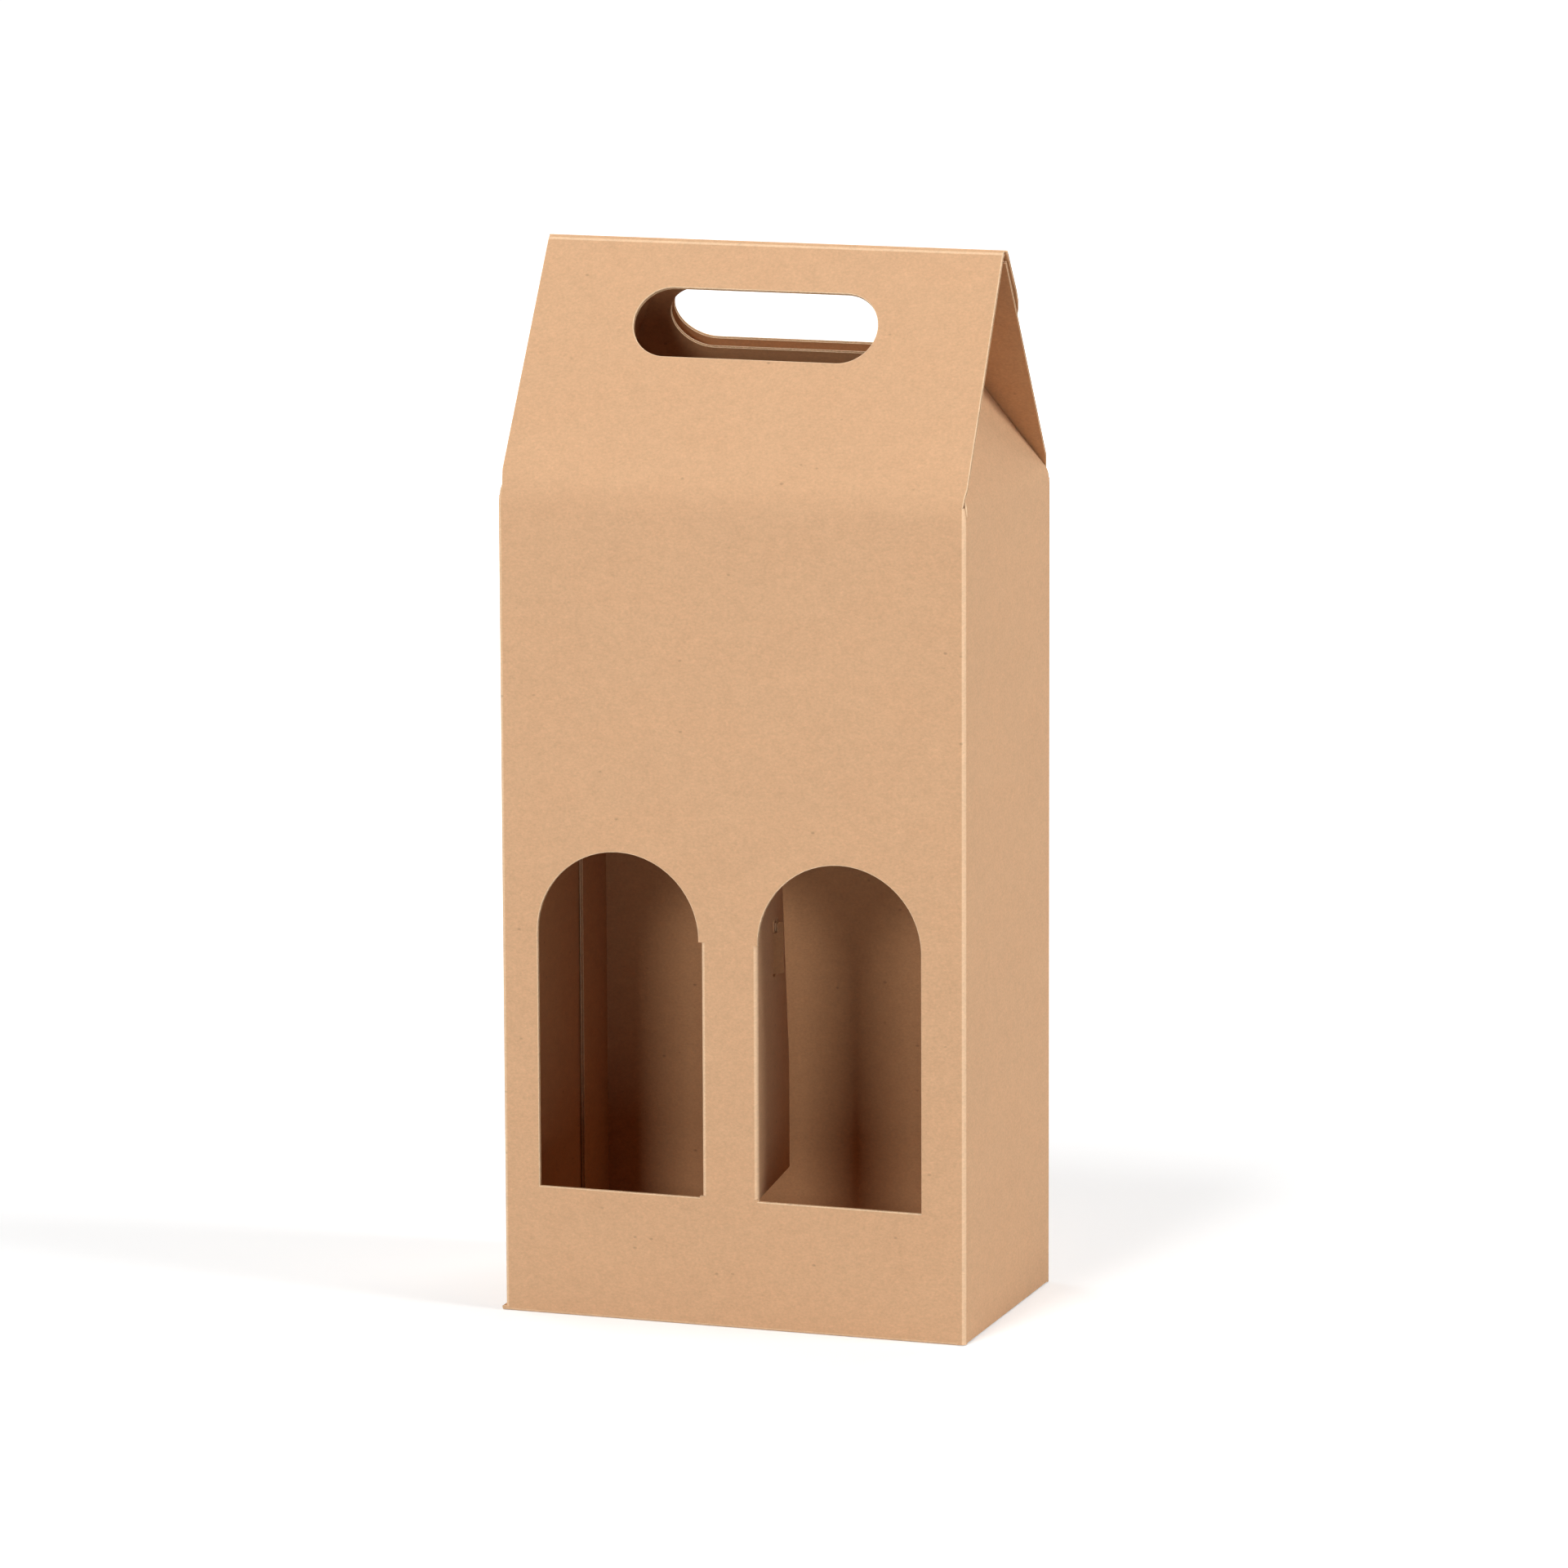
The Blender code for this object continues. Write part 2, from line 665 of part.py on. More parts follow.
def major_flaps():
    """Front and rear base flaps, which cross tongues at the middle of the base."""
    end = HALF_WIDTH - MAJOR_END_INSET
    free_edge = HALF_DEPTH - FIT_GAP / 2
    ramp_end = free_edge - TONGUE_RAMP_SETBACK
    ramp_start = ramp_end - TONGUE_RAMP
    tip = HALF_WIDTH + FRONT_CORNER_OVERHANG
    front_left = [
        (HALF_WIDTH, 0),
        (HALF_WIDTH, FIT_GAP),
        (tip, FIT_GAP),
        (tip, FRONT_CORNER_REACH),
        (end, FRONT_CORNER_REACH + tip - end),
        (end, free_edge),
    ]
    back_left = [(end, 0), (end, free_edge)]
    front = panel(
        "front_bottom_flap",
        place((0, -HALF_DEPTH, 0), (-1, 0, 0), (0, 1, 0)),
        major_outline(end, front_left),
    )
    back = panel(
        "back_bottom_flap",
        place((0, HALF_DEPTH, 0), (1, 0, 0), (0, -1, 0)),
        major_outline(end, back_left),
    )
    for flap in (front, back):
        raise_tongue(flap, ramp_start, ramp_end)


def minor_flap(name, side):
    """Side base flap on top of the major ones, glued down at the corner its score marks off."""
    half = HALF_DEPTH - BOARD - MINOR_SIDE_GAP
    depth = HALF_WIDTH - TONGUE_INNER_OFFSET - TONGUE_WIDTH - MINOR_TONGUE_GAP
    slant = math.tan(math.radians(MINOR_FREE_EDGE_SLOPE)) * depth
    glued_edge = depth - MINOR_CHAMFER
    outline = [
        (-half, 0, SQUARE_FOLD),
        (half, 0, None),
        (half - slant, depth, None),
        (-half + MINOR_CHAMFER, depth, None),
        (-half, glued_edge, None),
    ]
    flap = panel(
        name,
        place((side * HALF_WIDTH, 0, MINOR_LEVEL), (0, -side, 0), (-side, 0, 0)),
        outline,
        INSIDE_COLOUR,
    )
    start = Vector((-half + BOARD, 2 * BOARD))
    run = depth - start[1] - SCORE_END_GAP
    end = start + Vector((run, run))
    across = Vector((1, -1)).normalized() * SCORE_WIDTH / 2
    score = cut_edges([start - across, start + across, end + across, end - across])
    depths = (BOARD - SCORE_DEPTH, BOARD + CUT_THROUGH)
    cut_out(flap, name + "_score_cutter", score, depths)


def clear_scene():
    """Remove whatever the scene holds."""
    for item in list(bpy.data.objects):
        bpy.data.objects.remove(item, do_unlink=True)


def build():
    """Make the whole carton."""
    clear_scene()
    walls()
    glue_flap()
    major_flaps()
    minor_flap("left_bottom_flap", -1)
    minor_flap("right_bottom_flap", 1)
    gable()
    shoulder_flap("left_shoulder_flap", -1)
    shoulder_flap("right_shoulder_flap", 1)
    left_divider()
    right_divider()
    divider_lock_tab()


build()
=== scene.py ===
"""Looks of a kraft board carrier for two bottles: one creased sheet, folded, glued and hooked.

The boards are modelled flat or folded in place, rounded at their creases, thickened inward and
cut. Their cut edges get two thin liners with the fluted core set back between them.
"""

import json
import math

import bmesh
import bpy
from mathutils import Matrix, Vector


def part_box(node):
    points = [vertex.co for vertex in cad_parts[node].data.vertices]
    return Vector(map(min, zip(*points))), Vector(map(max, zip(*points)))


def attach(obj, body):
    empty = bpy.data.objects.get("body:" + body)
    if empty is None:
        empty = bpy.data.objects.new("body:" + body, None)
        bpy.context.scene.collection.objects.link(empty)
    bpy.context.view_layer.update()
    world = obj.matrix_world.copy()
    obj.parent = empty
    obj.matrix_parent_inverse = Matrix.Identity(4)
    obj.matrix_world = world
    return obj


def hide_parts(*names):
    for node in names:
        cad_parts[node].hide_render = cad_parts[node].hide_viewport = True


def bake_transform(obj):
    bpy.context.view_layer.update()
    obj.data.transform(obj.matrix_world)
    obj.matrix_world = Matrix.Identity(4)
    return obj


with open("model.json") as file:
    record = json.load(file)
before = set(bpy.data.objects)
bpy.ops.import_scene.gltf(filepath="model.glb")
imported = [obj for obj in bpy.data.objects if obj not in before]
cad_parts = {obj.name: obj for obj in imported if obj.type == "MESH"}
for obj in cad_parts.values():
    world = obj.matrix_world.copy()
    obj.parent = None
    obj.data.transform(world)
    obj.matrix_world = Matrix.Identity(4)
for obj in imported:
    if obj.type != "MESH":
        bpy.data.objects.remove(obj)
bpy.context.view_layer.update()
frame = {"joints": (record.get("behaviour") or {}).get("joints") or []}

MM = 0.001
# Lengths this close agree, and points this close are one
TOUCH = 0.02 * MM
MERGE = 0.005 * MM
JOINTS = {joint["name"]: joint for joint in frame["joints"]}


def crease_point(name):
    """A point on a crease, from the joint that turns about it."""
    return Vector(JOINTS[name]["pos_m"])


# Board
BOARD = 1.5 * MM
LINER = 0.25 * MM
EDGE_ROUND = 0.3 * MM
CORE_SETBACK = 0.1 * MM
CORE_LIP = 0.03 * MM
FLUTE_PITCH = 3.2 * MM

# Bends: how far a rounded crease reaches on each side of its fold line
CORNER_BEND = 1.6 * MM
BASE_BEND = 1.2 * MM
SHOULDER_BEND = 6 * MM
DUST_BEND = 2.0 * MM
RIDGE_FRONT_BEND = 0.75 * MM
RIDGE_REAR_BEND = 1.15 * MM
BEND_MARGIN = 1.001  # a strip this much longer than its bend leaves room to round it
PARENT_STRIP = 3.2 * MM
SHOULDER_STRIP = 6.4 * MM
SLOPE_SPLIT = 1.3 * SHOULDER_BEND
SLOPE_INSET = 0.4 * MM
SLOPE_TOP_INSET = 1.8 * MM
REAR_TOP_INSET = 1.1 * MM

# Carton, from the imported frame
HALF_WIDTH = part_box("right_side_panel")[1].x
HALF_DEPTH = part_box("back_panel")[1].y
SHOULDER = crease_point("front_slope_crease").z
RIDGE = crease_point("closing_flap_crease")
GLUE_LINE = 0.3 * MM
SEAM_X = -HALF_WIDTH + BOARD + GLUE_LINE
SEAM_SETBACK = 0.5 * MM
MINOR_LEVEL = 1.8 * MM
SIDE_FOLD_LEVEL = 0.35 * MM
SIDE_FOLD_RAMP = 3.4 * MM
MAJOR_END = HALF_WIDTH - 3 * MM
MINOR_GAP = 0.84 * MM
MINOR_HALF = HALF_DEPTH - BOARD - MINOR_GAP
CORNER_START = HALF_WIDTH - CORNER_BEND
POST_DRAW_IN = 0.6
GLUE_FLAP_WIDTH = 27 * MM
GLUE_FLAP_END = 6 * MM
GLUE_FLAP_TAPER = 7 * MM

# Gable
RIDGE_STRIP_WIDTH = 3 * MM
RIDGE_STRIP_TILT = 30
CLOSING_LENGTH = 60 * MM
CLOSING_CORNER = 40 * MM
CLOSING_INSET = 0.8 * MM
CLOSING_LEFT_INSET = 1.6 * MM
CLOSING_LIFT = 3.5
RIDGE_GAP = 1.0 * MM
BACK_SETBACK = 3.5 * MM

# Hand holes
HOLE_LENGTH = 94.2 * MM
HOLE_HEIGHT = 27.5 * MM
HOLE_SHIFT = -1.8 * MM
HOLE_BELOW_RIDGE = 20.1 * MM
REAR_HOLE_HEIGHT = 28.5 * MM
REAR_HOLE_SHIFT = 1.0 * MM

# Dust flaps
DUST_TOP_WIDTH = 20.5 * MM
DUST_LEAN = 29.5
DUST_GAP = 0.6 * MM
DUST_CORNER = 5.4 * MM

# Base
CORNER_OVERHANG = 1.4 * MM
CORNER_REACH = 9 * MM
CORNER_CURL = BASE_BEND + 0.3 * MM
TONGUE_INNER = 8 * MM
TONGUE_WIDTH = 36 * MM
TONGUE_REACH = 16 * MM
TONGUE_CORNER = 8 * MM
TONGUE_RAMP = 3 * MM
TONGUE_SLIT = 0.5 * MM
MAJOR_MIDDLE_GAP = 0.15 * MM
MINOR_DEPTH = HALF_WIDTH - TONGUE_INNER - TONGUE_WIDTH - 4 * MM
MINOR_CHAMFER = 12 * MM
MINOR_SLOPE = 18
SCORE_WIDTH = 0.8 * MM
SCORE_DEPTH = 0.35 * MM
SCORE_END_GAP = 1.5 * MM

# Windows and dividers
WINDOW_WIDTH = 63 * MM
WINDOW_SILL = 48.5 * MM
WINDOW_SPRING = 145 * MM
DIVIDER_GAP = 0.6 * MM
DIVIDER_TOP_GAP = 0.3 * MM
DIVIDER_CLEARANCE = 0.3 * MM
DIVIDER_BEND_RADIUS = 1.6 * MM
DIVIDER_STRIP = 4.4 * MM
RIGHT_LEAN = 97
RIGHT_DEPTH = 56 * MM
RIGHT_TAPER_START = 90 * MM
RIGHT_TAPER = 9
CROSSING = 33.1 * MM
HOOK_REACH = 2.3 * MM
HOOK_BOTTOM = 128 * MM
HOOK_HEIGHT = 15.5 * MM
HOOK_NOSE_HEIGHT = 4 * MM
HOOK_NOSE_LENGTH = 2.9 * MM
HOOK_SLOT_GAP = 0.6 * MM
HOOK_SLOT_SWEEP = 3.2 * MM

ARC_SEGMENTS = 14
BEND_SEGMENTS = 8
SMOOTH_ANGLE = 32

# Outer face of a board modelled flat: a point on it and its normal
FLAT = ((0, 0, 0), (0, 0, 1))

# Places of the four finishes in a board's materials
OUTER, INNER, RIM, CORE = range(4)


def direction(degrees):
    """Unit vector in a plane, by its angle from the first axis."""
    return Vector((math.cos(math.radians(degrees)), math.sin(math.radians(degrees))))


def angle_of(vector):
    """Angle of a plane vector from the first axis, in degrees."""
    return math.degrees(math.atan2(vector[1], vector[0]))


# Modelling by hand


def everywhere(co):
    """A test that every point passes."""
    return True


def start_fresh():
    """Leave edit mode and select nothing."""
    if bpy.context.mode != "OBJECT":
        bpy.ops.object.mode_set(mode="OBJECT")
    bpy.ops.object.select_all(action="DESELECT")


def work_on(item):
    """Make a piece the only selected one, and the active one."""
    start_fresh()
    item.select_set(True)
    bpy.context.view_layer.objects.active = item


def sheet(name, low, high):
    """Flat rectangle of board in the XY plane, facing +Z, between two corners."""
    start_fresh()
    middle = (Vector(low) + Vector(high)) / 2
    bpy.ops.mesh.primitive_plane_add(size=1, location=(middle.x, middle.y, 0))
    item = bpy.context.object
    item.name = name
    item.data.name = name
    item.scale = (high[0] - low[0], high[1] - low[1], 1)
    bpy.ops.object.transform_apply()
    return item


def select(item, kind, test):
    """In edit mode, select the points, edges or faces that pass a test."""
    work_on(item)
    bpy.ops.object.mode_set(mode="EDIT")
    bpy.ops.mesh.select_mode(type=kind)
    bpy.ops.mesh.select_all(action="DESELECT")
    mesh = bmesh.from_edit_mesh(item.data)
    for part in {"VERT": mesh.verts, "EDGE": mesh.edges, "FACE": mesh.faces}[kind]:
        part.select_set(test(part))
    mesh.select_flush_mode()
    bmesh.update_edit_mesh(item.data)


def pick(item, kind, test):
    """Select the points, or the edges or faces whose points all pass a test."""
    points = lambda part: [part] if kind == "VERT" else part.verts
    select(item, kind, lambda part: all(test(point.co) for point in points(part)))


def round_off(reach, segments, kind):
    """Round the selected points or edges."""
    bpy.ops.mesh.bevel(offset=reach, offset_pct=0, segments=segments, profile=0.5, affect=kind)


def merge_doubles():
    """Merge points that fall on each other."""
    bpy.ops.mesh.select_all(action="SELECT")
    bpy.ops.mesh.remove_doubles(threshold=MERGE)


def round_corners(item, test, reach, segments=ARC_SEGMENTS):
    """Round the corners of a flat outline that pass a test."""
    pick(item, "VERT", test)
    round_off(reach, segments, "VERTICES")
    merge_doubles()


def split(item, point, normal, test=everywhere):
    """Cut a sheet along a plane and keep both sides."""
    pick(item, "FACE", test)
    bpy.ops.mesh.bisect(plane_co=point, plane_no=Vector(normal).normalized())


def drop(item, test):
    """Remove the faces whose points all pass a test."""
    pick(item, "FACE", test)
    bpy.ops.mesh.delete(type="FACE")


def trim(item, point, normal, test=everywhere):
    """Cut a sheet along a plane and drop the faces on the normal's side."""
    split(item, point, normal, test)
    at, out = Vector(point), Vector(normal).normalized()
    drop(item, lambda co: test(co) and (co - at).dot(out) > -TOUCH / 2)


def pull(item, test, *moves):
    """Extrude the edges that pass a test, once for each move."""
    pick(item, "EDGE", test)
    for move in moves:
        bpy.ops.mesh.extrude_region_move(TRANSFORM_OT_translate={"value": tuple(move)})


def bend(item, test, reach):
    """Round the crease whose edges pass a test."""
    pick(item, "EDGE", test)
    round_off(reach, BEND_SEGMENTS, "EDGES")


def apply_all(item):
    """Apply every modifier of a piece."""
    work_on(item)
    for modifier in list(item.modifiers):
        bpy.ops.object.modifier_apply(modifier=modifier.name)


def thicken(item, outward):
    """Turn the sheet's faces outward and give it the board's thickness, inward."""
    work_on(item)
    bpy.ops.object.mode_set(mode="EDIT")
    bpy.ops.mesh.select_all(action="SELECT")
    bpy.ops.mesh.normals_make_consistent(inside=False)
    bpy.ops.object.mode_set(mode="OBJECT")
    largest = max(item.data.polygons, key=lambda face: face.area)
    if largest.normal.dot(Vector(outward)) < 0:
        item.data.flip_normals()
    for material in BOARD_MATERIALS:
        item.data.materials.append(material)
    modifier = item.modifiers.new("thickness", "SOLIDIFY")
    modifier.thickness = BOARD
    modifier.offset = -1
    modifier.use_even_offset = True
    modifier.material_offset = INNER
    modifier.material_offset_rim = RIM
    apply_all(item)


def block(name, low, high):
    """Plain box between two corners, used only to cut."""
    start_fresh()
    middle = (Vector(low) + Vector(high)) / 2
    bpy.ops.mesh.primitive_cube_add(size=1, location=middle)
    item = bpy.context.object
    item.name = name
    item.scale = Vector(high) - Vector(low)
    bpy.ops.object.transform_apply()
    item.data.materials.append(BOARD_MATERIALS[RIM])
    return item


def round_block(item, axis, test, radius):
    """Round a cutter's edges that run along an axis and pass a test."""
    ends = lambda edge: [point.co for point in edge.verts]
    along = lambda first, last: abs((last - first).normalized()[axis]) > 0.9
    select(item, "EDGE", lambda edge: all(map(test, ends(edge))) and along(*ends(edge)))
    round_off(radius, ARC_SEGMENTS, "EDGES")
    merge_doubles()


def cut(item, *cutters):
    """Cut shapes out of a piece and remove the cutters."""
    for cutter in cutters:
        modifier = item.modifiers.new("cut", "BOOLEAN")
        modifier.operation = "DIFFERENCE"
        modifier.solver = "EXACT"
        modifier.material_mode = "TRANSFER"
        modifier.object = cutter
    apply_all(item)
    for cutter in cutters:
        bpy.data.objects.remove(cutter, do_unlink=True)


def place(item, origin, across, up):
    """Put a piece modelled flat where its crease is, and apply that place."""
    u_axis = Vector(across).normalized()
    v_axis = Vector(up).normalized()
    turned = Matrix((u_axis, v_axis, u_axis.cross(v_axis))).transposed().to_4x4()
    turned.translation = Vector(origin)
    work_on(item)
    item.matrix_world = turned
    bpy.ops.object.transform_apply()


def finish_cut_edges(item, hidden):
    """Round the outer corner of the cut edges and set the fluted core back between the liners."""
    slots = [material.name for material in item.data.materials]
    rim, core = (slots.index(BOARD_MATERIALS[which].name) for which in (RIM, CORE))

    def is_corner(edge):
        faces = {face.material_index: face for face in edge.link_faces}
        return set(faces) == {OUTER, rim} and not hidden(faces[rim].calc_center_median())

    def is_cut(face):
        wide = face.calc_area() > EDGE_ROUND * max(edge.calc_length() for edge in face.edges)
        return face.material_index == rim and wide and not hidden(face.calc_center_median())

    select(item, "EDGE", is_corner)
    bpy.ops.mesh.bevel(offset=EDGE_ROUND, offset_pct=0, segments=2, profile=0.5, material=rim)
    select(item, "FACE", is_cut)
    bpy.ops.mesh.inset(thickness=LINER, depth=0, use_even_offset=True)
    item.active_material_index = core
    bpy.ops.object.material_slot_assign()
    bpy.ops.mesh.inset(thickness=CORE_LIP, depth=-CORE_SETBACK, use_even_offset=True)
    bpy.ops.object.mode_set(mode="OBJECT")


def measure_board(item, planes, across):
    """Write what the materials read: place across the flutes, and depth from the outer face."""
    mesh = item.data
    layer = mesh.uv_layers.new(name="board")
    for loop in mesh.loops:
        point = mesh.vertices[loop.vertex_index].co
        depth = min((Vector(origin) - point).dot(Vector(normal)) for origin, normal in planes)
        layer.data[loop.index].uv = (across(point) / FLUTE_PITCH, depth / BOARD)


def mark_bends(item, bends):
    """Write how far each point is into a bend: 0 where the bend begins and 1 on its middle line."""
    mesh = item.data
    attribute = mesh.attributes.new("bend", "FLOAT", "POINT")
    for index, point in enumerate(mesh.vertices):
        # How far into a crease: the mask of its paler band, which is partly a painted highlight
        stretch_and_highlight_share = 0.0
        for origin, along, reach, angle in bends:
            away = point.co - Vector(origin)
            away -= away.dot(Vector(along)) * Vector(along)
            nearest = reach * math.tan(math.radians(angle / 4))
            stretch_and_highlight_share = max(stretch_and_highlight_share, (reach - away.length) / (reach - nearest))
        attribute.data[index].value = min(max(stretch_and_highlight_share, 0.0), 1.0)


def smooth(item):
    """Shade the bends round and keep the flat faces flat."""
    work_on(item)
    bpy.ops.object.shade_smooth_by_angle(angle=math.radians(SMOOTH_ANGLE))
    modifier = item.modifiers.new("flat faces", "WEIGHTED_NORMAL")
    modifier.weight = 100
    modifier.keep_sharp = True
    apply_all(item)
    start_fresh()


def settle(item, planes, bends, origin, across, up):
    """Write what the materials read, put a board where its crease is, and smooth its shading."""
    start_fresh()
    measure_board(item, planes, lambda co: co.x)
    mark_bends(item, bends)
    place(item, origin, across, up)
    smooth(item)


# Materials


class Wiring:
    """Adds nodes to a node tree and joins them."""

    def __init__(self, tree):
        self.tree = tree

    def add(self, kind, sockets=None, **settings):
        """Add a node, set its properties, and set or join its inputs."""
        node = self.tree.nodes.new(kind)
        for name, value in settings.items():
            setattr(node, name, value)
        for name, value in (sockets or {}).items():
            if isinstance(value, bpy.types.NodeSocket):
                self.tree.links.new(value, node.inputs[name])
            else:
                node.inputs[name].default_value = value
        return node

    def math(self, operation, first, second=0.0, third=0.0):
        """Result of a Math node."""
        sockets = {0: first, 1: second, 2: third}
        return self.add("ShaderNodeMath", sockets, operation=operation).outputs[0]

    def spread(self, value, low, high, to_low=0.0, to_high=1.0):
        """A value mapped smoothly from one range to another."""
        sockets = {"Value": value, "From Min": low, "From Max": high}
        sockets |= {"To Min": to_low, "To Max": to_high}
        node = self.add("ShaderNodeMapRange", sockets, interpolation_type="SMOOTHSTEP")
        return node.outputs["Result"]

    def mix(self, share, first, second, blend="MIX"):
        """Result of a colour Mix node."""
        sockets = {0: share, 6: first, 7: second}
        node = self.add("ShaderNodeMix", sockets, data_type="RGBA", blend_type=blend)
        return node.outputs[2]

    def turn(self, vector, scale=(1, 1, 1), **sockets):
        """A place moved, turned or scaled by a Mapping node."""
        names = {name.title(): value for name, value in sockets.items()}
        node = self.add("ShaderNodeMapping", {"Vector": vector, "Scale": scale, **names})
        return node.outputs["Vector"]

    def relief(self, shader, height, strength, distance):
        """Let a surface's height show in its shading."""
        sockets = {"Strength": strength, "Distance": distance, "Height": height}
        node = self.add("ShaderNodeBump", sockets)
        self.tree.links.new(node.outputs["Normal"], shader.inputs["Normal"])


# Pulp of the paper: size of each layer, and how much it lightens the sheet
CLOUD_SCALE, CLOUD_SHADE = 26, 0.07
FLOCK_SCALE, FLOCK_SHADE = 260, 0.15
GRAIN_SCALE, GRAIN_SHADE = 1100, 0.42
FIBRE_SCALE, FIBRE_SHADE = 900, 0.035
FIBRE_TURNS = ((0.35, 3.1), (1.45, 7.7), (-0.6, 12.3))  # turn in radians, and seed
SPECK_SCALE, SPECK_SHADE = 210, -0.22
WARM_SCALE, WARM_SHARE = 60, 0.25
WARM_TINT = (1.03, 0.985, 0.96, 1)
LINER_STRETCH = (0.75, 0.75, 1.15)
# Tint of the creases: the strained liner's paleness and a painted highlight
STRETCH_AND_HIGHLIGHT_TINT = (1.28, 1.45, 1.60, 1)
# Painted shade in the hollows of the fluted core
HOLLOW_SHADE_TINT = (0.80, 0.74, 0.70, 1)


def paper_group():
    """Pulp of kraft paper: cloudy formation, fine grain, short fibres and dark specks."""
    group = bpy.data.node_groups.new("kraft pulp", "ShaderNodeTree")
    for name, in_out, kind in (
        ("Colour", "INPUT", "Color"),
        ("Grain", "INPUT", "Float"),
        ("Specks", "INPUT", "Float"),
        ("Stretch", "INPUT", "Vector"),
        ("Colour", "OUTPUT", "Color"),
        ("Height", "OUTPUT", "Float"),
    ):
        group.interface.new_socket(name=name, in_out=in_out, socket_type="NodeSocket" + kind)
    wiring = Wiring(group)
    inputs = wiring.add("NodeGroupInput").outputs
    outputs = wiring.add("NodeGroupOutput").inputs
    spot = wiring.add("ShaderNodeTexCoord").outputs["Object"]
    where = wiring.turn(spot, inputs["Stretch"])

    def noise(scale, detail, roughness=0.55, distortion=0.0, vector=where):
        sockets = {"Vector": vector, "Scale": scale, "Detail": detail}
        sockets |= {"Roughness": roughness, "Distortion": distortion}
        return wiring.add("ShaderNodeTexNoise", sockets).outputs["Fac"]

    clouds = wiring.math("SUBTRACT", noise(CLOUD_SCALE, 3), 0.5)
    flocks = wiring.math("SUBTRACT", noise(FLOCK_SCALE, 3, 0.6), 0.5)
    grain = wiring.math("SUBTRACT", noise(GRAIN_SCALE, 3, 0.75), 0.5)
    fibres = []
    for turn, seed in FIBRE_TURNS:
        angles = (turn, turn * 0.8, turn * 1.3)
        turned = wiring.turn(where, rotation=angles, location=(seed, seed, seed))
        squeezed = wiring.turn(turned, (0.16, 1, 1))
        streak = noise(FIBRE_SCALE, 2, 0.5, 0.6, squeezed)
        fibres.append(wiring.spread(streak, 0.60, 0.72))
    fibre = wiring.math("MAXIMUM", wiring.math("MAXIMUM", fibres[0], fibres[1]), fibres[2])
    sockets = {"Vector": where, "Scale": SPECK_SCALE, "Randomness": 1.0}
    dots = wiring.add("ShaderNodeTexVoronoi", sockets).outputs
    close = wiring.spread(dots["Distance"], 0.05, 0.16, 1.0, 0.0)
    chosen = wiring.add("ShaderNodeSeparateColor", {"Color": dots["Color"]}).outputs["Red"]
    speck = wiring.math("MULTIPLY", close, wiring.spread(chosen, 0.90, 0.93))
    speck = wiring.math("MULTIPLY", speck, inputs["Specks"])

    tone = wiring.math("MULTIPLY", clouds, CLOUD_SHADE)
    tone = wiring.math("MULTIPLY_ADD", flocks, FLOCK_SHADE, tone)
    tone = wiring.math("MULTIPLY_ADD", grain, GRAIN_SHADE, tone)
    tone = wiring.math("MULTIPLY", tone, inputs["Grain"])
    tone = wiring.math("MULTIPLY_ADD", fibre, FIBRE_SHADE, tone)
    tone = wiring.math("MULTIPLY_ADD", speck, SPECK_SHADE, tone)
    tone = wiring.math("ADD", tone, 0.99)
    sockets = {"Red": tone, "Green": tone, "Blue": tone}
    grey = wiring.add("ShaderNodeCombineColor", sockets).outputs["Color"]
    shaded = wiring.mix(1.0, inputs["Colour"], grey, "MULTIPLY")
    warm = wiring.math("MULTIPLY", wiring.spread(noise(WARM_SCALE, 3), 0.35, 0.7), WARM_SHARE)
    tinted = wiring.mix(1.0, shaded, WARM_TINT, "MULTIPLY")
    group.links.new(wiring.mix(warm, shaded, tinted), outputs["Colour"])
    height = wiring.math("MULTIPLY", grain, 0.5)
    height = wiring.math("MULTIPLY_ADD", fibre, 0.35, height)
    height = wiring.math("MULTIPLY_ADD", flocks, 0.3, height)
    group.links.new(height, outputs["Height"])
    return group


def start_material(name, colour, grain, specks, stretch=(1, 1, 1)):
    """A new material, its wiring and shader, and the outputs of its pulp."""
    material = bpy.data.materials.new(name)
    material.use_nodes = True
    wiring = Wiring(material.node_tree)
    sockets = {"Colour": (*colour, 1), "Grain": grain, "Specks": specks, "Stretch": stretch}
    pulp = wiring.add("ShaderNodeGroup", sockets, node_tree=PAPER).outputs
    return material, wiring, material.node_tree.nodes["Principled BSDF"], pulp


def across_flutes(wiring):
    """Place across the flutes and depth in the board, and a wave that follows the flutes."""
    board = wiring.add("ShaderNodeUVMap", uv_map="board").outputs["UV"]
    parts = wiring.add("ShaderNodeSeparateXYZ", {"Vector": board}).outputs
    return parts, wiring.math("SINE", wiring.math("MULTIPLY", parts["X"], math.tau))


def make_dull(shader):
    """Rough, almost without gloss, as torn fibres are."""
    shader.inputs["Roughness"].default_value = 0.95
    shader.inputs["Specular IOR Level"].default_value = 0.05


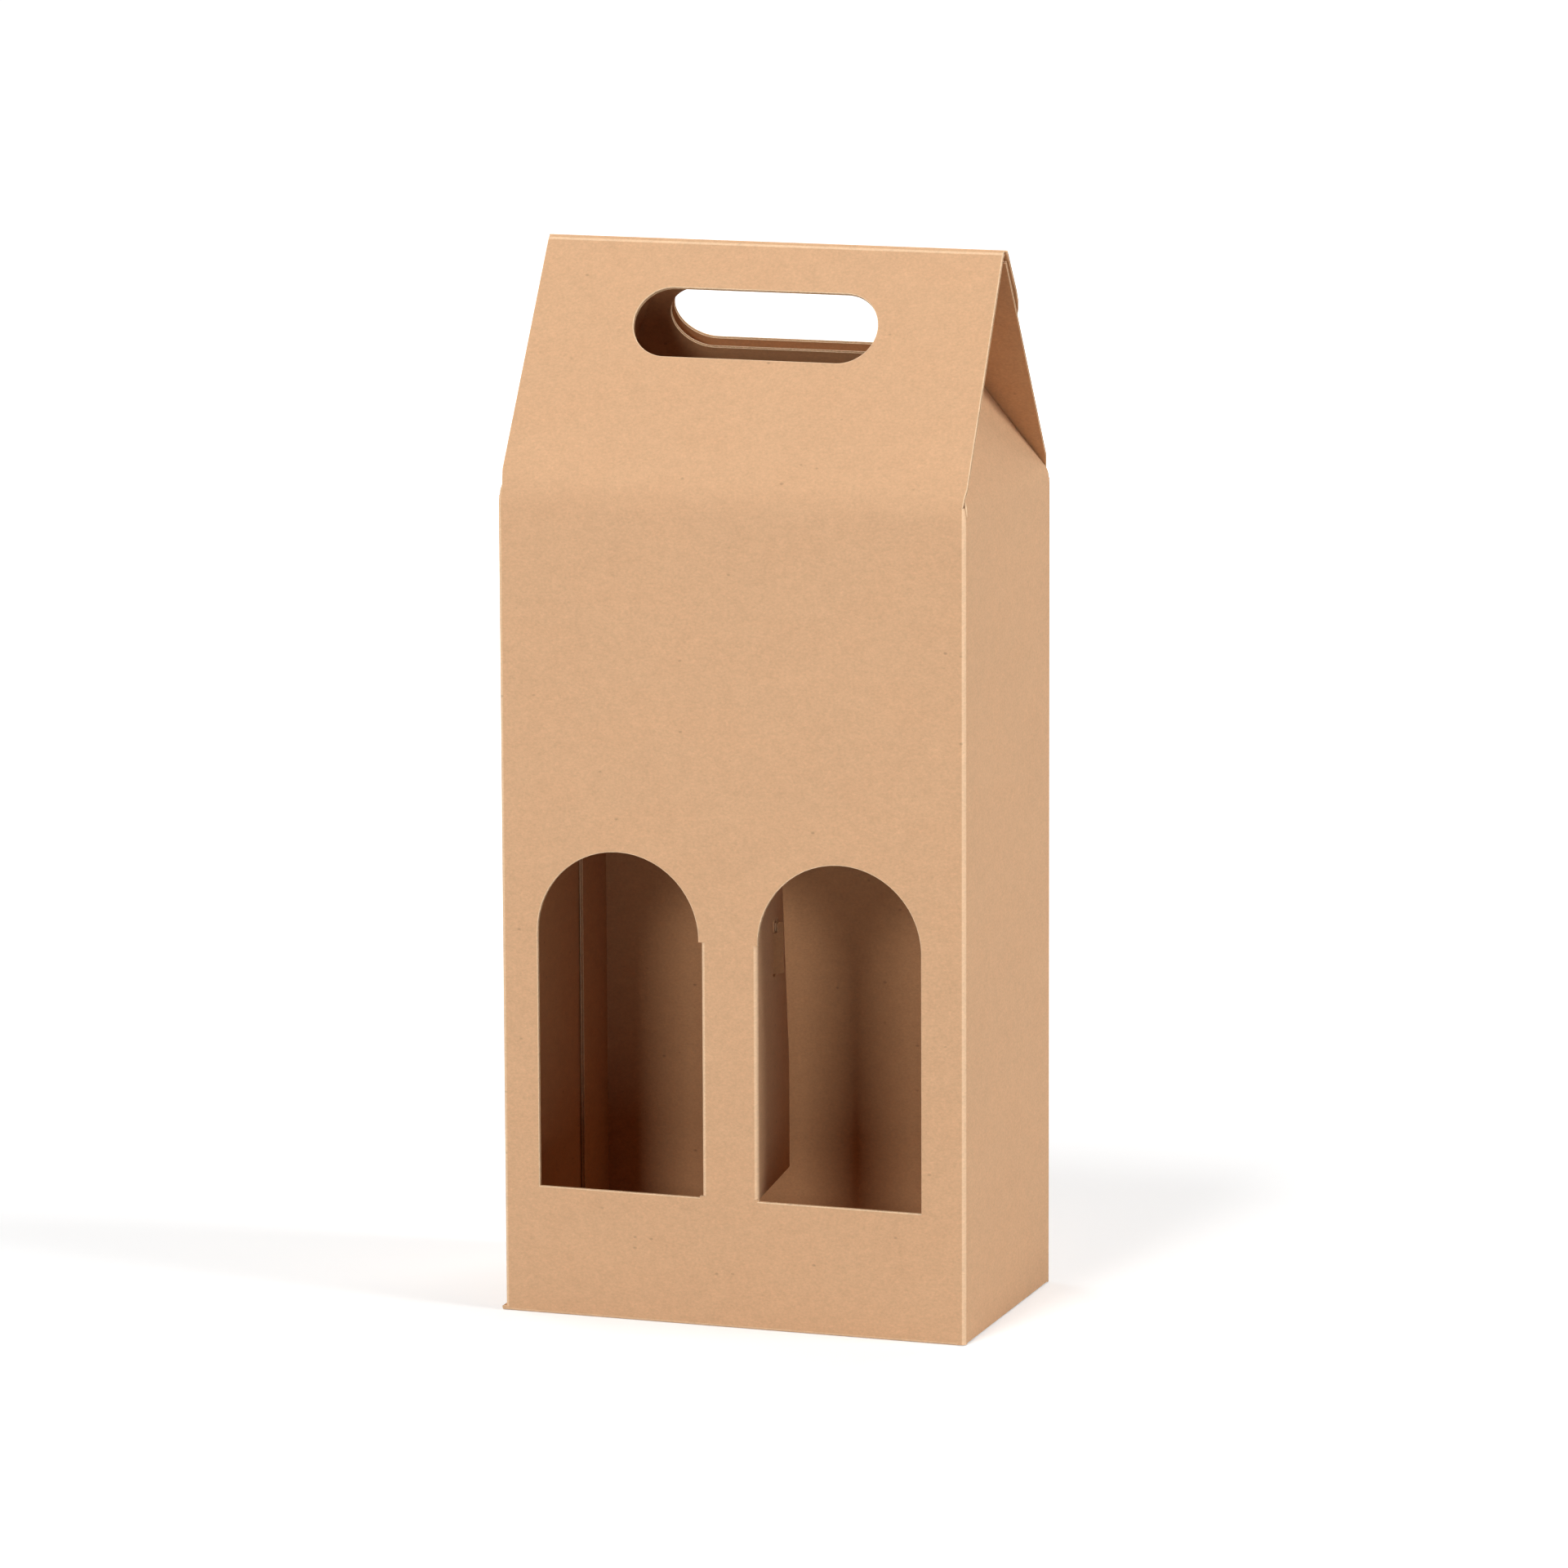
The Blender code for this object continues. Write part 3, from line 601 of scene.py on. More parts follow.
def paper_material(name, colour, grain, specks, bend_lift, gloss, washboard):
    """Face of the board: pulp, paler along creases from the strained liner and a painted highlight,
    flutes faintly showing.
    """
    material, wiring, shader, pulp = start_material(name, colour, grain, specks, LINER_STRETCH)
    attribute = {"attribute_name": "bend", "attribute_type": "GEOMETRY"}
    bent = wiring.add("ShaderNodeAttribute", **attribute).outputs["Fac"]
    # Creases painted paler: partly the strained liner, partly a painted highlight on the rounded
    # fold
    stretch_and_highlight_share = wiring.math("MULTIPLY", wiring.spread(bent, 0.05, 0.55), bend_lift)
    stretch_and_highlight_colour = wiring.mix(1.0, pulp["Colour"], STRETCH_AND_HIGHLIGHT_TINT, "MULTIPLY")
    final = wiring.mix(stretch_and_highlight_share, pulp["Colour"], stretch_and_highlight_colour)
    material.node_tree.links.new(final, shader.inputs["Base Color"])
    ribs = across_flutes(wiring)[1]
    height = wiring.math("MULTIPLY_ADD", ribs, washboard, pulp["Height"])
    wiring.relief(shader, height, 0.35, 0.05 * MM)
    rough = wiring.spread(pulp["Height"], -0.3, 0.6, 0.74, 0.88)
    material.node_tree.links.new(rough, shader.inputs["Roughness"])
    shader.inputs["Specular IOR Level"].default_value = gloss
    return material


def cut_edge_material():
    """Cut edge of a liner: pale, torn fibres."""
    material, wiring, shader, pulp = start_material("kraft_cut_edge", CUT_COLOUR, 1.6, 0.5)
    material.node_tree.links.new(pulp["Colour"], shader.inputs["Base Color"])
    wiring.relief(shader, pulp["Height"], 0.6, 0.08 * MM)
    make_dull(shader)
    return material


def flute_material():
    """Core between the liners: the wavy medium, with painted shade in the hollows on both sides of
    it.
    """
    material, wiring, shader, pulp = start_material("kraft_flutes", FLUTE_COLOUR, 1.4, 0.5)
    parts, wave = across_flutes(wiring)
    line = wiring.math("MULTIPLY_ADD", wave, 0.27, 0.5)
    away = wiring.math("ABSOLUTE", wiring.math("SUBTRACT", parts["Y"], line))
    medium = wiring.spread(away, 0.06, 0.15, 1.0, 0.0)
    # The hollows beside the medium are painted darker: painted shade of the open flutes
    hollow_shade = wiring.mix(1.0, pulp["Colour"], HOLLOW_SHADE_TINT, "MULTIPLY")
    colour = wiring.mix(medium, hollow_shade, pulp["Colour"])
    material.node_tree.links.new(colour, shader.inputs["Base Color"])
    height = wiring.math("MULTIPLY_ADD", pulp["Height"], 0.2, medium)
    wiring.relief(shader, height, 0.8, 0.3 * MM)
    make_dull(shader)
    return material


OUTSIDE_COLOUR = (0.700, 0.425, 0.243)
# Inner liner painted darker and redder than the outer one: painted shade for the dim,
# interreflected light inside the box
INSIDE_SHADE_COLOUR = (0.570, 0.298, 0.145)
CUT_COLOUR = (0.860, 0.620, 0.400)
FLUTE_COLOUR = (0.700, 0.440, 0.250)

PAPER = paper_group()
BOARD_MATERIALS = [
    paper_material("kraft_outer_liner", OUTSIDE_COLOUR, 1.0, 1.0, 0.85, 0.12, 0.10),
    paper_material("kraft_inner_liner", INSIDE_SHADE_COLOUR, 1.1, 1.2, 0.0, 0.05, 0.25),
    cut_edge_material(),
    flute_material(),
]


# Boards of the carton


def near(value, target, slack=TOUCH):
    """Whether two lengths agree."""
    return abs(value - target) < slack


def ride_for(item, body, nodes):
    """Attach a piece to the body it moves with, and hide the parts that it stands for."""
    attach(item, body)
    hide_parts(*nodes)


def blend_for(item, nodes):
    """For a board whose crease lies between two bodies: bake its place into its mesh, and hide the
    parts that it stands for.
    """
    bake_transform(item)
    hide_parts(*nodes)


DIVIDER_HINGES = (("right_divider_crease", 1), ("left_divider_crease", -1))


def notch_walls(item):
    """Take out of the walls the strips that the folded flaps bring along."""
    side_top = SHOULDER - PARENT_STRIP
    top = SHOULDER - SHOULDER_STRIP
    low = MINOR_LEVEL + PARENT_STRIP
    across = lambda co: near(abs(co.y), HALF_DEPTH)
    on_side = lambda co: near(abs(co.x), HALF_WIDTH)
    split(item, (0, 0, top), (0, 0, 1))
    split(item, (0, 0, side_top), (0, 0, 1), on_side)
    split(item, (0, 0, PARENT_STRIP), (0, 0, 1), across)
    split(item, (0, 0, low), (0, 0, 1), on_side)
    for side in (-1, 1):
        split(item, (side * MAJOR_END, 0, 0), (1, 0, 0), across)
        split(item, (0, side * MINOR_HALF, 0), (0, 1, 0), on_side)
    at_slope = lambda co: across(co) and abs(co.x) < CORNER_START + TOUCH
    at_major = lambda co: across(co) and abs(co.x) < MAJOR_END + TOUCH
    drop(item, lambda co: at_slope(co) and co.z > top - TOUCH)
    drop(item, lambda co: at_major(co) and co.z < PARENT_STRIP + TOUCH)
    in_notch = lambda co: on_side(co) and abs(co.y) < MINOR_HALF + TOUCH
    drop(item, lambda co: in_notch(co) and co.z > side_top - TOUCH)
    drop(item, lambda co: in_notch(co) and co.z < low + TOUCH)
    right_post = lambda co: co.x > MAJOR_END - TOUCH and abs(co.y) > MINOR_HALF - TOUCH
    left_post = lambda co: co.x < TOUCH - MAJOR_END and not near(co.x, SEAM_X)
    trim(item, (0, 0, SIDE_FOLD_LEVEL), (0, 0, -1), right_post)
    trim(item, (0, 0, CORNER_CURL), (0, 0, -1), left_post)
    post_top = lambda co: abs(co.x) > CORNER_START - TOUCH and co.z > top - TOUCH
    for level in post_levels():
        split(item, (0, 0, level), (0, 0, 1), post_top)


def post_levels():
    """Heights at which the tops of the corner posts lean back with the slopes' bend."""
    return [SHOULDER - SHOULDER_BEND * share for share in (0.8, 0.6, 0.4, 0.2, 0.0)]


def lean_posts(item):
    """Lean the tops of the corner posts back and draw them in, so that they meet the slopes."""
    for level in post_levels():
        rise = (level - SHOULDER + SHOULDER_BEND) / SHOULDER_BEND
        slack = TOUCH if level < SHOULDER - PARENT_STRIP else -TOUCH
        on_post = lambda co: near(co.z, level) and abs(co.y) > MINOR_HALF + slack
        for end in (-1, 1):
            pick(item, "VERT", lambda co: on_post(co) and end * co.x > CORNER_START)
            narrower = 1 - POST_DRAW_IN * rise**2
            still = (end * CORNER_START, 0, 0)
            bpy.ops.transform.resize(value=(narrower, 1, 1), center_override=still)
    for side, lean in ((-1, GABLE["front"]), (1, 180 - GABLE["back"])):
        radius = SHOULDER_BEND / math.tan(math.radians(90 - lean) / 2)
        for level in post_levels():
            rise = level - SHOULDER + SHOULDER_BEND
            back = radius - math.sqrt(radius**2 - rise**2)
            at_level = lambda co: near(co.z, level) and abs(co.x) > CORNER_START - BOARD
            pick(item, "VERT", lambda co: at_level(co) and co.y * side > MINOR_HALF + TOUCH)
            bpy.ops.transform.translate(value=(0, -side * back, 0))


def window_cutters():
    """Arched windows, and the strips of wall that go with the divider flaps."""
    front, behind = -HALF_DEPTH - BOARD, -HALF_DEPTH + 2 * BOARD
    cutters = []
    for name, side in DIVIDER_HINGES:
        hinge = crease_point(name).x
        far = hinge + side * WINDOW_WIDTH
        top = WINDOW_SPRING + WINDOW_WIDTH / 2
        low, high = (min(hinge, far), front, WINDOW_SILL), (max(hinge, far), behind, top)
        window = block(name + "_window", low, high)
        round_block(window, 1, lambda co, top=top: near(co.z, top), WINDOW_WIDTH / 2)
        edge = hinge - side * DIVIDER_STRIP
        inside = hinge + side * BOARD
        strip = block(
            name + "_strip",
            (min(edge, inside), front, WINDOW_SILL + DIVIDER_GAP),
            (max(edge, inside), behind, WINDOW_SPRING - DIVIDER_TOP_GAP),
        )
        cutters += [window, strip]
    return cutters


def carton_walls():
    """Sleeve of four walls and the glue flap, as one strip of board with rounded corners."""
    item = sheet("carton_walls", (-HALF_WIDTH, 0), (HALF_WIDTH, SHOULDER))
    place(item, (0, -HALF_DEPTH, 0), (1, 0, 0), (0, 0, 1))
    depth = 2 * HALF_DEPTH
    moves = (0, depth, 0), (SEAM_X - HALF_WIDTH, 0, 0), (0, -GLUE_FLAP_WIDTH, 0)
    pull(item, lambda co: near(co.x, HALF_WIDTH), *moves)
    left_fold = lambda co: near(co.x, -HALF_WIDTH) and near(co.y, -HALF_DEPTH)
    pull(item, left_fold, (0, depth - SEAM_SETBACK, 0))
    flap_face = lambda co: near(co.x, SEAM_X)
    slope = Vector((0, GLUE_FLAP_TAPER, -GLUE_FLAP_WIDTH))
    trim(item, (SEAM_X, HALF_DEPTH, GLUE_FLAP_END), (0, -slope.y, slope.z), flap_face)
    trim(item, (SEAM_X, HALF_DEPTH, SHOULDER - GLUE_FLAP_END), (0, -slope.y, -slope.z), flap_face)
    corners = [
        (HALF_WIDTH, -HALF_DEPTH),
        (HALF_WIDTH, HALF_DEPTH),
        (SEAM_X, HALF_DEPTH),
        (-HALF_WIDTH, -HALF_DEPTH),
    ]
    for x, y in corners:
        bend(item, lambda co, x=x, y=y: near(co.x, x) and near(co.y, y), CORNER_BEND)
    notch_walls(item)
    thicken(item, (0, -1, 0))
    cut(item, *window_cutters())
    low = MINOR_LEVEL + PARENT_STRIP + BOARD / 2
    high = SHOULDER - SHOULDER_STRIP - BOARD / 2
    strips = [crease_point(name).x - side * DIVIDER_STRIP / 2 for name, side in DIVIDER_HINGES]
    beside_strip = lambda co: any(near(co.x, x, DIVIDER_STRIP / 2 + TOUCH) for x in strips)
    finish_cut_edges(item, lambda co: not low < co.z < high or beside_strip(co))
    planes = [
        ((0, -HALF_DEPTH, 0), (0, -1, 0)),
        ((0, HALF_DEPTH, 0), (0, 1, 0)),
        ((HALF_WIDTH, 0, 0), (1, 0, 0)),
        ((-HALF_WIDTH, 0, 0), (-1, 0, 0)),
    ]
    measure_board(item, planes, lambda co: co.y if abs(co.x) > HALF_WIDTH - 2 * BOARD else co.x)
    mark_bends(item, [((x, y, 0), (0, 0, 1), CORNER_BEND, 90) for x, y in corners])
    lean_posts(item)
    smooth(item)
    nodes = ("front_panel", "back_panel", "left_side_panel", "right_side_panel", "glue_flap")
    ride_for(item, "carton", nodes)


def gable_angles():
    """Lean of the gable's slopes and its folds, from the creases' places."""
    front_crease = Vector((-HALF_DEPTH, SHOULDER))
    rear_crease = Vector((HALF_DEPTH, SHOULDER))
    ridge_rear = Vector((RIDGE.y, RIDGE.z))
    ridge_front = ridge_rear - direction(RIDGE_STRIP_TILT) * RIDGE_STRIP_WIDTH
    to_ridge = ridge_rear - rear_crease
    front = angle_of(ridge_front - front_crease)
    back = angle_of(to_ridge) + math.degrees(math.asin((BOARD + RIDGE_GAP) / to_ridge.length))
    return {
        "front": front,
        "front_length": (ridge_front - front_crease).length,
        "back": back,
        "back_length": to_ridge.dot(direction(back)),
        "closing": back - 180 + CLOSING_LIFT,
    }


def dust_half_width(distance, back=True):
    """Half width of a dust flap under the rear or the front slope, at a distance up its face."""
    lean = math.radians(GABLE["back"] - 90 if back else 90 - GABLE["front"])
    height = distance * math.cos(math.radians(DUST_LEAN))
    return HALF_DEPTH - height * math.tan(lean) - BOARD / math.cos(lean) - DUST_GAP


GABLE = gable_angles()


def hand_hole(low, height, shift):
    """Cutter for a long hole with round ends, its lower edge at a distance from the crease."""
    half = HOLE_LENGTH / 2
    corner = Vector((half, height / 2, 3 * BOARD))
    middle = Vector((shift, low + height / 2, 0))
    item = block("hand_hole", middle - corner, middle + corner)
    round_block(item, 2, everywhere, height / 2)
    return item


def taper(item, length, inset):
    """Narrow a slope's top edge."""
    half = HALF_WIDTH - SLOPE_INSET
    pick(item, "VERT", lambda co: near(co.y, length))
    narrower = (HALF_WIDTH - inset) / half
    bpy.ops.transform.resize(value=(narrower, 1, 1), center_override=(0, length, 0))


def before_crease(fold):
    """Direction and outer side of the board before a crease, from the flat board after it."""
    turn = math.radians(fold)
    away = Vector((0, -math.cos(turn), -math.sin(turn)))
    return away, Vector((0, -math.sin(turn), math.cos(turn)))


def add_wall_strip(item, down):
    """Give a slope its strip of wall, drawn in to where the walls' rounded corners begin."""
    split(item, (0, SLOPE_SPLIT, 0), (0, 1, 0))
    pull(item, lambda co: near(co.y, 0), down * SHOULDER_STRIP)
    for end in (-1, 1):
        pick(item, "VERT", lambda co, end=end: end * co.x > CORNER_START and co.y < TOUCH)
        shift = end * (CORNER_START - HALF_WIDTH + SLOPE_INSET)
        bpy.ops.transform.translate(value=(shift, 0, 0))


def front_slope_board():
    """Front slope of the gable with its ridge strip, bending out of the front wall."""
    half = HALF_WIDTH - SLOPE_INSET
    length = GABLE["front_length"]
    item = sheet("front_slope_board", (-half, 0), (half, length))
    taper(item, length, SLOPE_TOP_INSET)
    ridge_fold = GABLE["front"] - RIDGE_STRIP_TILT
    down, wall_out = before_crease(90 - GABLE["front"])
    back, strip_out = before_crease(-ridge_fold)
    add_wall_strip(item, down)
    strip = RIDGE_STRIP_WIDTH - RIDGE_REAR_BEND
    pull(item, lambda co: near(co.y, length), back * -strip)
    bend(item, lambda co: near(co.y, 0), SHOULDER_BEND)
    bend(item, lambda co: near(co.y, length), RIDGE_FRONT_BEND)
    thicken(item, (0, 0, 1))
    apex = math.hypot(HALF_DEPTH, RIDGE.z - SHOULDER)
    cut(item, hand_hole(apex - HOLE_BELOW_RIDGE - HOLE_HEIGHT, HOLE_HEIGHT, HOLE_SHIFT))
    at_ridge = lambda co: abs(co.x) < half - 2 * BOARD and co.y > length - BOARD
    finish_cut_edges(item, lambda co: co.y < BOARD / 3 or at_ridge(co))
    planes = [FLAT, ((0, 0, 0), wall_out), ((0, length, 0), strip_out)]
    bends = [((0, length, 0), (1, 0, 0), RIDGE_FRONT_BEND, ridge_fold)]
    up = (0, *direction(GABLE["front"]))
    settle(item, planes, bends, (0, -HALF_DEPTH, SHOULDER), (1, 0, 0), up)
    blend_for(
        item,
        ("front_slope_panel", "ridge_strip"),
    )


def closing_flap_board():
    """Flap that bends over the ridge and lies on the rear slope."""
    left, right = -HALF_WIDTH + CLOSING_LEFT_INSET, HALF_WIDTH - CLOSING_INSET
    item = sheet("closing_flap_board", (left, 0), (right, CLOSING_LENGTH))
    round_corners(item, lambda co: near(co.y, CLOSING_LENGTH), CLOSING_CORNER)
    fold = RIDGE_STRIP_TILT - GABLE["closing"]
    back, strip_out = before_crease(fold)
    pull(item, lambda co: near(co.y, 0), back * RIDGE_REAR_BEND * BEND_MARGIN)
    bend(item, lambda co: near(co.y, 0), RIDGE_REAR_BEND)
    thicken(item, (0, 0, 1))
    cut(item, hand_hole(HOLE_BELOW_RIDGE, REAR_HOLE_HEIGHT, REAR_HOLE_SHIFT))
    finish_cut_edges(item, lambda co: co.y < 0.4 * BOARD)
    along = direction(GABLE["closing"])
    bends = [((0, 0, 0), (1, 0, 0), RIDGE_REAR_BEND, fold)]
    settle(item, [FLAT, ((0, 0, 0), strip_out)], bends, RIDGE, (1, 0, 0), (0, *along))
    blend_for(item, ("closing_flap",))


def rear_slope_board():
    """Rear slope of the gable, under the closing flap."""
    half = HALF_WIDTH - SLOPE_INSET
    length = GABLE["back_length"] - BACK_SETBACK
    item = sheet("rear_slope_board", (-half, 0), (-SEAM_X, length))
    taper(item, length, REAR_TOP_INSET)
    down, wall_out = before_crease(GABLE["back"] - 90)
    add_wall_strip(item, down)
    bend(item, lambda co: near(co.y, 0), SHOULDER_BEND)
    thicken(item, (0, 0, 1))
    low = GABLE["back_length"] - HOLE_BELOW_RIDGE - REAR_HOLE_HEIGHT
    cut(item, hand_hole(low, REAR_HOLE_HEIGHT, -REAR_HOLE_SHIFT))
    finish_cut_edges(item, lambda co: co.y < BOARD / 3)
    planes = [FLAT, ((0, 0, 0), wall_out)]
    up = (0, *direction(GABLE["back"]))
    settle(item, planes, [], (0, HALF_DEPTH, SHOULDER), (-1, 0, 0), up)
    ride_for(item, "carton", ("back_slope_panel",))


def dust_flap_board(side):
    """Dust flap that leans inward out of a side wall. Side is 1 on the right, -1 on the left."""
    front = math.radians(90 - GABLE["front"])
    back = math.radians(GABLE["back"] - 90)
    boards = BOARD / math.cos(front) + BOARD / math.cos(back)
    narrowing = 2 * HALF_DEPTH - boards - 2 * DUST_GAP - DUST_TOP_WIDTH
    length = narrowing / (math.tan(front) + math.tan(back)) / math.cos(math.radians(DUST_LEAN))
    word = "right" if side > 0 else "left"
    base = dust_half_width(0)
    item = sheet(word + "_dust_flap", (-base, 0), (base, length))
    for end, under_back in ((-1, side < 0), (1, side > 0)):
        run = base - dust_half_width(length, under_back)
        trim(item, (end * base, 0, 0), (end * length, run, 0))
    round_corners(item, lambda co: near(co.y, length), DUST_CORNER, 10)
    down, wall_out = before_crease(DUST_LEAN)
    pull(item, lambda co: near(co.y, 0), down * PARENT_STRIP)
    bend(item, lambda co: near(co.y, 0), DUST_BEND)
    thicken(item, (0, 0, 1))
    finish_cut_edges(item, lambda co: abs(co.x) < base - BOARD and co.y < BOARD)
    lean = math.radians(DUST_LEAN)
    up = (-side * math.sin(lean), 0, math.cos(lean))
    planes = [FLAT, ((0, 0, 0), wall_out)]
    settle(item, planes, [], (side * HALF_WIDTH, 0, SHOULDER), (0, side, 0), up)
    blend_for(
        item,
        (word + "_shoulder_flap",),
    )


def divider_plan():
    """Plan of the two dividers, where the left one passes through the right one."""
    right = crease_point("right_divider_crease").xy
    left = crease_point("left_divider_crease").xy
    crossing = right + direction(RIGHT_LEAN) * CROSSING
    left_angle = angle_of(crossing - left)
    between = math.radians(RIGHT_LEAN - left_angle)
    board_run = BOARD / math.sin(between) + BOARD / math.tan(between)
    left_length = (crossing - left).length
    return {
        "left_angle": left_angle,
        "left_length": left_length,
        "left_depth": left_length - board_run - HOOK_SLOT_GAP / math.sin(between),
        "slot_start": CROSSING - board_run - HOOK_SLOT_GAP,
        "slot_end": CROSSING + HOOK_SLOT_SWEEP,
    }


PLAN = divider_plan()


def divider_relief(fold):
    """How far a folded flap's board reaches before it is clear of the wall it turns behind."""
    past_square = math.radians(fold - 90)
    past = BOARD * math.sin(past_square)
    return (BOARD + DIVIDER_CLEARANCE + past) / math.cos(past_square)


def divider_sheet(name, fold, depth):
    """Window cut-out as a flat flap with its hinge at x 0, cut to a depth, with a strip of wall."""
    top = WINDOW_SPRING + WINDOW_WIDTH / 2 - DIVIDER_GAP
    low = WINDOW_SILL + DIVIDER_GAP
    item = sheet(name, (DIVIDER_GAP, low), (WINDOW_WIDTH - DIVIDER_GAP, top))
    round_corners(item, lambda co: near(co.y, top), WINDOW_WIDTH / 2 - DIVIDER_GAP)
    relief = divider_relief(fold)
    trim(item, (relief, 0, 0), (-1, 0, 0))
    trim(item, (depth, 0, 0), (1, 0, 0))
    crease_top = WINDOW_SPRING - DIVIDER_TOP_GAP
    split(item, (0, crease_top, 0), (0, 1, 0))
    turned = math.radians(180 - fold)
    wall = Vector((math.cos(turned), 0, -math.sin(turned)))
    at_crease = lambda co: near(co.x, relief) and co.y < crease_top + TOUCH
    pull(item, at_crease, (-relief, 0, 0), wall * DIVIDER_STRIP)
    return item


def divider_reach(fold):
    """How far a divider's bend reaches on each side of its hinge line."""
    return DIVIDER_BEND_RADIUS * math.tan(math.radians(fold / 2))


def bend_divider(item, fold):
    """Round the crease between a divider and its strip of wall."""
    bend(item, lambda co: near(co.x, 0) and near(co.z, 0), divider_reach(fold))


def set_divider(item, side, fold, angle, nodes):
    """Finish a divider and put it at its hinge. Side is 1 on the right, -1 on the left."""
    finish_cut_edges(item, lambda co: co.z < -1.2 * BOARD)
    body = "right_divider" if side > 0 else "left_divider"
    foot = Vector((*crease_point(body + "_crease").xy, 0))
    along = Vector((*direction(angle), 0))
    reach = divider_reach(fold)
    turned = math.radians(180 - fold)
    planes = [FLAT, ((0, 0, 0), (-side * math.sin(turned), 0, -math.cos(turned)))]
    bends = [((0, 0, 0), (0, 1, 0), reach, fold)]
    settle(item, planes, bends, foot, along * side, (0, 0, 1))
    blend_for(item, nodes)


def right_divider_board():
    """Right window's flap, swung in past square, with the slot for the other flap's hook."""
    item = divider_sheet("right_divider_board", RIGHT_LEAN, RIGHT_DEPTH)
    tilt = math.radians(RIGHT_TAPER)
    out = (math.cos(tilt), math.sin(tilt), 0)
    relief = divider_relief(RIGHT_LEAN)
    trim(item, (RIGHT_DEPTH, RIGHT_TAPER_START, 0), out, lambda co: co.x > relief - BOARD)
    bend_divider(item, RIGHT_LEAN)
    thicken(item, (0, 0, 1))
    low = HOOK_BOTTOM - HOOK_SLOT_GAP
    high = HOOK_BOTTOM + HOOK_HEIGHT + HOOK_NOSE_HEIGHT + HOOK_SLOT_GAP
    start, end = (PLAN["slot_start"], low, -3 * BOARD), (PLAN["slot_end"], high, 3 * BOARD)
    cut(item, block("hook_slot", start, end))
    set_divider(item, 1, RIGHT_LEAN, RIGHT_LEAN, ("right_divider_flap",))


def left_divider_board():
    """Left window's flap with its hook, swung behind the post and through the right one."""
    fold = 180 - PLAN["left_angle"]
    depth = PLAN["left_depth"]
    item = divider_sheet("left_divider_board", fold, depth)
    hook_top = HOOK_BOTTOM + HOOK_HEIGHT
    for level in (HOOK_BOTTOM, hook_top):
        split(item, (0, level, 0), (0, 1, 0))
    tip = PLAN["left_length"] + HOOK_REACH
    nose = tip - HOOK_NOSE_LENGTH
    on_hook = lambda co: HOOK_BOTTOM - TOUCH < co.y < hook_top + TOUCH
    moves = (nose - depth, 0, 0), (HOOK_NOSE_LENGTH, 0, 0)
    pull(item, lambda co: near(co.x, depth) and on_hook(co), *moves)
    on_nose = lambda co: near(co.y, hook_top) and co.x > nose - TOUCH
    pull(item, on_nose, (0, HOOK_NOSE_HEIGHT, 0))
    nose_top = hook_top + HOOK_NOSE_HEIGHT
    at_tip = lambda co: near(co.y, nose_top) and co.x > depth
    round_corners(item, at_tip, HOOK_NOSE_LENGTH / 2, 6)
    bend_divider(item, fold)
    work_on(item)
    item.scale = (-1, 1, 1)
    bpy.ops.object.transform_apply()
    thicken(item, (0, 0, 1))
    set_divider(item, -1, fold, PLAN["left_angle"], ("left_divider_flap", "divider_lock_tab"))


